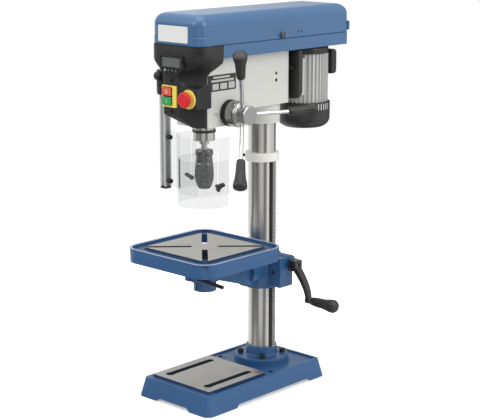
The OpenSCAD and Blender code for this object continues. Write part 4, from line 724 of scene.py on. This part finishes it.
# %% The emergency stop
STOP_AT = (34.0, 0.0, 802.0)
ring_r = [7.4, 14, 14, 22.6, 24, 24, 7.4]
ring_y = [-246.5, -246.5, -245.5, -245.5, -244.3, PANEL_Y, PANEL_Y]
piece("estop_ring", [lathe(ring_r, ring_y, STOP_AT, "y", 72, True)], "stand",
      "yellow plastic", ["estop_base"])
dome_r = [0, 9, 12, 15.5, 18.4, 19.8, 20, 19.2, 16.5, 9, 7, 7, 0]
dome_y = [-262.7, -262.7, -263.2, -263.4, -262.2, -260, -257.6, -254.6, -252.2, -251.6, -250.8, -246, -246]
piece("estop_head", [lathe(dome_r, dome_y, STOP_AT, "y", 72)], "estop", "red plastic",
      ["estop_button"])

# %% [markdown]
# ## Marks on the casting
# A small framed plate lies on the casting's side and three short index lines stand beside the depth scale.
# The plate is left blank: a black frame with plain metal fields.

# %% The plate and the index lines
backing = slab(rounded(-196, -95, 816.5, 857.5, 3), CASTING_SIDE - 0.2, CASTING_SIDE + 0.8, 0.3, "x")
piece("type_plate", [backing], "stand", "smooth black plastic")
field_spans = [(-177, -117, 849, 853.5), (-184, -103, 840, 845.5), (-180, -158, 820.5, 835.5),
               (-152, -128, 820.5, 835.5), (-122, -100, 820.5, 837)]
fields = [slab(rounded(*f, 0.8, 3), CASTING_SIDE + 0.7, CASTING_SIDE + 0.95, 0, "x") for f in field_spans]
piece("type_fields", fields, "stand", "etched plate")
lines = [slab(rounded(y0, -160, z, z + 0.7, 0.2, 2), CASTING_SIDE - 0.1, CASTING_SIDE + 0.15, 0, "x")
         for y0, z in ((-178, 761), (-172, 758), (-176, 755))]
piece("index_lines", lines, "stand", "oxide black")

# %% [markdown]
# ## The feed
# A graduated ring sits against the casting, then a chromed hub with three levers that lean outwards. All of it is
# turned work, so each piece is a profile turned round the feed shaft or round its lever. The ring's edge has
# ridges: there the radius changes with the angle as well as along the axis.

# %% The scale ring and its ridged edge
FEED_AT = (0.0, FEED_Y, FEED_Z)
RING_X, HUB_X, HUB_END = 55.4, 93.4, 130.4
band_r, band_h = [13.2, 32.4, 32.4, 33.2, 33.2, 32.4, 13.2], [71, 71, 72, 72.8, 92.2, 93.0, 93.0]
piece("scale_band", [lathe(band_r, band_h, FEED_AT, "x", 96, True)], "feed", "scale steel",
      ["scale_ring"])
ridge_angle = np.arange(256) * 2 * np.pi / 256
ridge = 33.0 + 1.0 * np.clip(3 * np.cos(32 * ridge_angle), -1, 1)
ridge_rows = np.stack([13.2 + 0 * ridge, ridge - 0.8, ridge, ridge, ridge - 0.8, 13.2 + 0 * ridge])
piece("scale_ridges", [lathe(ridge_rows, [RING_X, RING_X, 56.2, 70, 71, 71], FEED_AT, "x", 256, True)],
      "feed", "oxide black")

# %% The hub
hub_r = [0, 30.2, 31, 31, 30, 27, 26, 25.4, 25, 25, 24.2, 23, 0]
hub_h = [HUB_X, HUB_X, 94, 97.6, 99, 99.4, 99.6, 100.4, 102, 128, 129.6, HUB_END, HUB_END]
far_end = flipped(lathe([0, 12.9, 12.9, 11.9, 0], [-55, -55, -80, -81, -81], FEED_AT, "x", 48))
piece("hub_turned", [lathe(hub_r, hub_h, FEED_AT, "x", 96), far_end], "feed", "bright chrome",
      ["feed_hub"])
hub_face = lathe([0, 22.8, 22.8, 22.4, 0], [130, 130, 130.4, 130.7, 130.7], FEED_AT, "x", 64)
piece("hub_face", [hub_face], "feed", "faced steel")

# %% Levers and their grips
LEAN = math.radians(23)
lever_turn = np.radians([-90, 30, 150])
lever_ways = np.stack([np.full(3, math.sin(LEAN)), -math.cos(LEAN) * np.sin(lever_turn),
                       math.cos(LEAN) * np.cos(lever_turn)], 1)
LEVER_AT = np.array([102.4, FEED_Y, FEED_Z])
rod = lathe([0, 5, 5, 0], [12, 12, 190, 190], steps=32)
piece("levers", [aimed(rod, LEVER_AT, w) for w in lever_ways], "feed", "bright chrome",
      ["lever_rods"])


def grip(l, places, radii, blunt, flutes, steps=96):
    """A grip of length l. Its radius runs smoothly through given radii at given shares u of the length: straight
    lines between them, averaged over a short stretch. Past u = blunt the radius is multiplied by
    (1 - v^3)^(1/3), v going from 0 to 1, which is a blunt dome, and shallow flutes lie along the thick part."""
    fine = np.linspace(-0.1, 1.1, 241)
    smooth = np.convolve(np.interp(fine, places, radii), np.ones(21) / 21, "same")
    to_tip = np.sin(np.linspace(0, np.pi / 2, 14))
    u = np.concatenate([np.linspace(0, blunt, 34)[:-1], blunt + (1 - blunt) * to_tip])
    v = np.clip((u - blunt) / (1 - blunt), 0, 1)
    shoulder = np.clip(u / 0.05, 0, 1)
    swell = np.interp(u, fine, smooth) * (1 - v ** 3) ** (1 / 3)
    swell = swell - 2.5 * (1 - (2 * shoulder - shoulder ** 2) ** 0.5)
    a = np.arange(steps) * 2 * np.pi / steps
    groove = np.clip(np.cos(flutes * a), 0.35, 1) - 0.35
    depth = np.clip((u - 0.1) / 0.2, 0, 1) * np.clip((0.97 - u) / 0.14, 0, 1)
    r = swell[:, None] - 1.7 * depth[:, None] * groove[None, :]
    r = np.concatenate([np.zeros((1, steps)), np.maximum(r, 0)])
    return lathe(r, np.concatenate([[0], l * u]), steps=steps)


lever_knob = grip(80, [0, 0.2, 0.45, 0.65, 0.82, 1], [10.6, 11.8, 12.8, 14.6, 17.8, 19.2], 0.86, 6)
piece("lever_knobs", [aimed(moved_up(lever_knob, 128), LEVER_AT, w) for w in lever_ways],
      "feed", "smooth black plastic", ["lever_grips"])

# %% The return spring's can
can_r, can_h = [0, 33, 33, 32, 29.5, 15, 14, 14, 0], [-55, -55, -78, -81, -83, -83, -83.2, -82, -82]
can = flipped(lathe(can_r, can_h, FEED_AT, "x", 72))
piece("spring_drum", [can], "stand", "satin black paint", ["spring_can"])

# %% [markdown]
# ## Quill, chuck and column
# The quill and the column are ground steel; the chuck is keyless, with a ribbed sleeve below a plain collar.
# Ribs are again a radius that depends on the angle, faded out towards both ends of the sleeve.

# %% The chuck
SPINDLE_AT = (0, SPINDLE_Y, 0)
CHUCK_Z, SLEEVE_TOP, CHUCK_TOP = 561.0, 645.0, 662.0
u = np.linspace(0, 1, 60)
v = np.abs(u - 0.45) / 0.55
sleeve = 24.5 - np.where(u < 0.45, 9.5 * (v / 0.818) ** 2.6, 4.5 * v ** 1.6)
steps = 180
a = np.arange(steps) * 2 * np.pi / steps
band = np.clip((u - 0.22) / 0.05, 0, 1) * np.clip((0.74 - u) / 0.05, 0, 1)
ribs = 1.3 * band[:, None] * (0.5 - 0.5 * np.clip(2.2 * np.cos(18 * a), -1, 1))[None, :]
neck = 0.8 * np.exp(-((u - 0.80) / 0.012) ** 2) + 0.8 * np.exp(-((u - 0.16) / 0.014) ** 2)
outer = (sleeve - neck)[:, None] - ribs
inner = np.full((1, steps), 11.3)
shell_r = np.concatenate([inner, outer, inner])
shell_h = np.concatenate([[CHUCK_Z], CHUCK_Z + (SLEEVE_TOP - CHUCK_Z) * u, [SLEEVE_TOP]])
piece("chuck_shell", [lathe(shell_r, shell_h, SPINDLE_AT, "z", steps, True)], "chuck",
      "blued steel", ["chuck_sleeve"])
collar_r = [0, 15, 15, 21, 22.4, 23, 23, 22, 19.5, 8, 0]
collar_h = [600, 600, 645.6, 645.6, 647, 649, 658, 660.4, CHUCK_TOP, CHUCK_TOP, CHUCK_TOP]
piece("chuck_collar", [lathe(collar_r, collar_h, SPINDLE_AT, "z", 72)], "spindle",
      "blued steel", ["chuck_body"])
# the black ring stands partly for a stop ring and partly for painted shade in the gap under the casting
stop_r, stop_h = [27.4, 29.6, 30.2, 30.2, 29.6, 27.4], [706.9, 706.9, 707.6, 713.4, 714.1, 714.1]
piece("quill_stop_and_shade", [lathe(stop_r, stop_h, SPINDLE_AT, "z", 72, True)], "quill",
      "satin black paint")

# %% The guard's wing screws
half_bow = np.array([[6.5, 0], [8, 5], [13, 8], [13.4, 16], [9, 18.5], [3, 13]])
bow = np.concatenate([half_bow, half_bow[::-1] * [-1, 1]])
wings = swung(slab(eased(bow, 2.4, 5), -4.6, 4.6, 1.8, "y"), 38)
shank = flipped(lathe([0, 5.4, 5.4, 2.4, 2.4, 4.4, 4.4, 0], [4.6, 4.6, 0, 0, -6.6, -6.6, -9, -9], steps=32))
wing_angles = np.radians([-16, 163])
wing_ways = np.stack([np.cos(wing_angles), np.sin(wing_angles), [0, 0]], 1)
shield_middle, shield_reach = np.array([0, SPINDLE_Y, 577]), 71.4
heads = [aimed(part, shield_middle + shield_reach * w, w) for w in wing_ways for part in (wings, shank)]
piece("wing_heads", heads, "visor", "smooth black plastic", ["wing_screws"])

# %% The guard's knob
lobe_angle = np.arange(120) * 2 * np.pi / 120
lobes = 11.4 + 0.6 * np.cos(10 * lobe_angle)
rows = np.stack([0 * lobes, lobes - 6.5, lobes - 3, lobes - 0.8, lobes, lobes - 2.4, 0 * lobes])
knob_at = (POST_X, POST_Y, 843.0)
knob = lathe(rows, [33.6, 33.2, 31.6, 28.6, 25.2, 22.0, 21.6], knob_at, "y", 120)
stud = lathe([0, 4, 4, 0], [22, 22, 10.6, 10.6], knob_at, "y", 24)
mirror = np.array([1, -1, 1])
piece("guard_star", [((s[0] - knob_at) * mirror + knob_at, s[1]) for s in (knob, stud)], "knob",
      "smooth black plastic", ["guard_knob"])

# %% [markdown]
# ## Stand and motor
# The collar, the flange, the crank's grip and the fan cover are turned shapes too.

# %% Turned pieces of the stand
COLUMN_AT = (0, COLUMN_Y, 0)
collar = lathe([36.6, 44, 45, 45, 44, 36.6], [605, 605, 606, 627, 628, 628], COLUMN_AT, "z", 96, True)
piece("collar_ring", [collar], "stand", "off-white collar", ["rack_collar"])
flange_r = [36.6, 72, 73, 73, 72, 70.5, 46, 44, 42.7, 42, 42, 42, 41, 36.6]
flange_h = [54, 54, 54.8, 63.6, 65.4, 66, 66, 66.6, 68, 70, 80, 90.6, 92, 92]
piece("flange_turned", [lathe(flange_r, flange_h, COLUMN_AT, "z", 96, True)], "stand",
      "blue casting", ["column_flange"])
CRANK_PIN = (0, 79.0, 242.17)
crank_knob = grip(88, [0, 0.06, 0.22, 0.46, 0.6, 0.78, 1], [9.2, 10.6, 12.6, 13.0, 14.4, 17.6, 18.0], 0.8, 8)
washer_r, washer_h = [4.1, 7.4, 7.8, 7.8, 7.4, 4.1], [162.5, 162.5, 162.9, 164.5, 164.9, 164.9]
piece("crank_washer", [lathe(washer_r, washer_h, CRANK_PIN, "x", 40, True)], "crank",
      "turned steel")
piece("crank_knob", [aimed(moved_up(crank_knob, 165.4), CRANK_PIN, TO_RIGHT)], "crank_handle",
      "smooth black plastic", ["crank_grip"])

# %% The fan cover
t = np.linspace(0, np.pi / 2, 9)
fan_r = np.concatenate([[54, 46], 46 + 26 * np.sin(t), [72, 71.4, 70, 70], 46 + 24 * np.cos(t), [54]])
fan_h = np.concatenate([[680, 678], 704 - 26 * np.cos(t), [746.4, 747, 747, 704], 704 - 24 * np.sin(t), [680]])
cover_ring = lathe(fan_r, fan_h, (0, MOTOR_Y, 0), "z", 96, True)
wedge = slab(np.array([[17, -1.7], [53, -10.8], [53, 10.8], [17, 1.7]]), 678.6, 680.4, 0.3)
middle = lathe([0, 17.6, 18, 18, 0], [678.6, 678.6, 679, 680.4, 680.4], steps=48)
MOTOR_AT = np.array([0, MOTOR_Y, 0])
grille = [swung(wedge, 15 + 30 * k, MOTOR_AT) for k in range(12)] + [swung(middle, 0, MOTOR_AT)]
piece("fan_shell", [cover_ring] + grille, "motor", "satin black paint", ["fan_cover"])
fin_end = slab(rounded(-1.9, 1.9, 728, 745, 0.8, 3), -72.25, -70.5, 0.2, "y")
fin_ends = [swung(fin_end, side + 7.5 * k, MOTOR_AT) for side in (90, 180, 270) for k in (-2, -1, 0, 1, 2)]
piece("fin_ends", fin_ends, "motor", "cast aluminium")

# %% The motor's upper end and its terminal box
t = np.linspace(0, np.pi / 2, 7)
cap_r = np.concatenate([[14, 66.2], 60 + 6.4 * np.cos(t), [14]])
cap_h = np.concatenate([[879.2, 879.2], 890 + 10 * np.sin(t), [900]])
# the motor's upper end is painted black: partly its own paint, partly the painted shade under the belt pan
piece("motor_cap", [lathe(cap_r, cap_h, MOTOR_AT, "z", 96, True)], "motor", "satin black paint")
terminal = slab(rounded(-50, 50, 818, 885, 10, 8), 292, 314, 4.5, "y", 6)
gland = lathe([5, 8, 9, 9, 8, 5], [806, 806, 807, 817, 818.5, 818.5], (-36, 305, 0), "z", 40, True)
piece("terminal_case", [terminal, gland], "motor", "smooth black plastic", ["terminal_box"])

# %% [markdown]
# ## Castings
# Sand castings have no sharp edges. Their solids already have the right faces, so a copy of each is merged into
# whole faces and its corners are rounded off with a bevel of a few millimetres.

# %% Round off the castings
for node, width, look, slot_name, body in (
        ("head_casting", 3.0, "off-white casting", "grey_paint", "stand"),
        ("table_arm", 4.0, "blue casting", "blue_paint", "arm"),
        ("table_bracket", 3.0, "blue casting", "blue_paint", "bracket"),
        ("base", 2.0, "base finish", "blue_paint", "stand"),
        ("table", 1.2, "table finish", "blue_paint", "table"),
        ("belt_pan", 1.0, "blue sheet", "blue_paint", "stand"),
        ("motor_plate", 1.5, "satin black paint", "black_metal", "motor"),
        ("crank_arm", 1.6, "satin black paint", "black_metal", "crank"),
        ("guard_swivel", 1.2, "grained black plastic", "black_plastic", "swivel"),
        ("guard_bracket", 1.5, "satin black paint", "black_metal", "stand")):
    softened(node, width, look, body)

# %% [markdown]
# ## Dressing the solids
# A solid that no finer piece stands in for keeps its shape and only gets its finish.

# %% Finishes of the solids
solid_finish = {
    "satin black paint": "arm_lock_lever table_clamp_lever",
    "oxide black": "flange_bolts set_screws cover_screws shield_screws",
    "smooth black plastic": "profile_cap",
    "polished steel": "column quill spindle",
    "rack steel": "column_rack",
    "turned steel": "worm_shaft lift_pinion tilt_bolt",
    "cast aluminium": "motor_body spindle_pulley idler_pulley motor_pulley",
    "post aluminium": "guard_profile",
    "jaw steel": "chuck_jaw_1 chuck_jaw_2 chuck_jaw_3",
    "belt rubber": "spindle_belt motor_belt",
    "clear plastic": "upper_shield lower_shield",
}
dressed = 0
for look, names in solid_finish.items():
    for node in names.split():
        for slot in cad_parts[node].material_slots:
            slot.material = finishes[look]
        dressed += 1
print("dressed", dressed, "of", len(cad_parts))

# %% [markdown]
# ## The studio
# A pale floor, a white background and soft light from large lamps: the picture is a plain product shot. The floor
# glows a little more the farther it is from the object, so that it meets the background without an edge. Polished
# metal needs something dark to reflect as well: shiny surfaces see three tall light panels with dark gaps between
# them, at the left, near the camera and at the right, and the same panels in the floor, which draws upright
# streaks on the column.

# %% Floor and background
FLOOR_HALF = 1.25
floor_points = np.array([[-1, -1, 0], [1, -1, 0], [1, 1, 0], [-1, 1, 0]]) * FLOOR_HALF
floor_mesh = bpy.data.meshes.new("floor")
floor_mesh.from_pydata(floor_points.tolist(), [], [[0, 1, 2, 3]])
floor = bpy.data.objects.new("floor", floor_mesh)
bpy.context.scene.collection.objects.link(floor)
floor.location.z = -0.0005


# Each panel's direction, how far to each side it is full and where it ends, in degrees, and its strength
PANELS, GAP_LIGHT = ((172, 30, 52, 0.95), (-52, 8, 26, 0.66), (35, 32, 48, 0.8)), 0.15


def panel_light(x, y):
    """The light from a level direction: that of the gaps, and more towards the middle of each panel."""
    far = (x * x + y * y + 1e-6) ** 0.5
    light = GAP_LIGHT
    for degrees, inner, outer, share in PANELS:
        near = (math.cos(math.radians(degrees)) * x + math.sin(math.radians(degrees)) * y) / far
        light = light + share * ramp(near, math.cos(math.radians(outer)), math.cos(math.radians(inner)))
    return light


def pale_floor(place):
    """White paper. For the camera it glows by 0.36 near the object and fully white from 1.2 m outwards, and shiny
    surfaces see the panels in it."""
    x, y = place.parts()[:2]
    seen, shiny = [place.node("LightPath", out=k) for k in ("Is Camera Ray", "Is Glossy Ray")]
    glow = seen * (0.36 + 0.64 * ramp((x * x + y * y) ** 0.5, 0.35, 1.2)) + shiny * 0.8 * panel_light(x, y)
    grey = place.node("CombineColor", feeds={0: glow, 1: glow, 2: glow})
    return {"Base Color": mix(shiny, hue("#F4F4F4"), hue("#2C2C2C")), "Roughness": 0.9, "Emission Color": grey}


floor_mesh.materials.append(finish("pale floor", pale_floor, Emission_Strength=1.0))

world = bpy.data.worlds.new("studio")
bpy.context.scene.world = world
world.use_nodes = True
world.node_tree.nodes.clear()
air = Sock(world.node_tree)
camera_ray, shiny_ray, clear_ray = [
    air.node("LightPath", out=k) for k in ("Is Camera Ray", "Is Glossy Ray", "Is Transmission Ray")]
way_x, way_y, way_z = air.node("TexCoord", out="Generated").parts()
upright = 1 - abs(way_z)
reflected = panel_light(way_x, way_y) * upright + (0.3 + 0.5 * ramp(way_z, -0.2, 0.4)) * (1 - upright)
light = air.math("MAXIMUM", camera_ray, clear_ray)
strength = light + (1 - light) * (shiny_ray * reflected + (1 - shiny_ray) * 0.5)
sky = air.node("Background", feeds={"Color": (1, 1, 1, 1), "Strength": strength})
end = world.node_tree.nodes.new("ShaderNodeOutputWorld")
world.node_tree.links.new(sky.socket, end.inputs["Surface"])
print("background nodes", len(world.node_tree.nodes))


# %% Lamps and camera
def lamp(name, place, target, size, watts):
    data = bpy.data.lights.new(name, "AREA")
    data.shape, data.size, data.size_y, data.energy = "RECTANGLE", size[0], size[1], watts
    obj = bpy.data.objects.new(name, data)
    bpy.context.scene.collection.objects.link(obj)
    obj.location = place
    way = np.array(target, float) - place
    tilt = math.atan2(math.hypot(way[0], way[1]), -way[2])
    obj.rotation_euler = (tilt, 0, math.atan2(way[0], -way[1]) + math.pi)


lamp("key lamp", (-1.4, -3.0, 2.6), (0, -0.05, 0.5), (2.0, 2.0), 49)
lamp("side lamp", (3.0, 0.4, 2.2), (0, 0, 0.5), (1.6, 2.2), 45)
lamp("top lamp", (0.2, -0.2, 3.4), (0, 0, 0.5), (2.5, 2.5), 40)

camera_data = bpy.data.cameras.new("camera")
camera_data.sensor_width, camera_data.sensor_fit, camera_data.lens = 36.0, "HORIZONTAL", 105.12
camera_data.clip_end = 30.0
camera = bpy.data.objects.new("camera", camera_data)
bpy.context.scene.collection.objects.link(camera)
camera.location = (2.4837, -2.6611, 1.2962)
LOOKS_DOWN, TURNED = 12.68, 43.25
camera.rotation_euler = (math.radians(90 - LOOKS_DOWN), 0, math.radians(TURNED))
bpy.context.scene.camera = camera
bpy.context.scene.view_settings.view_transform = "Standard"
print("camera", tuple(camera.location))
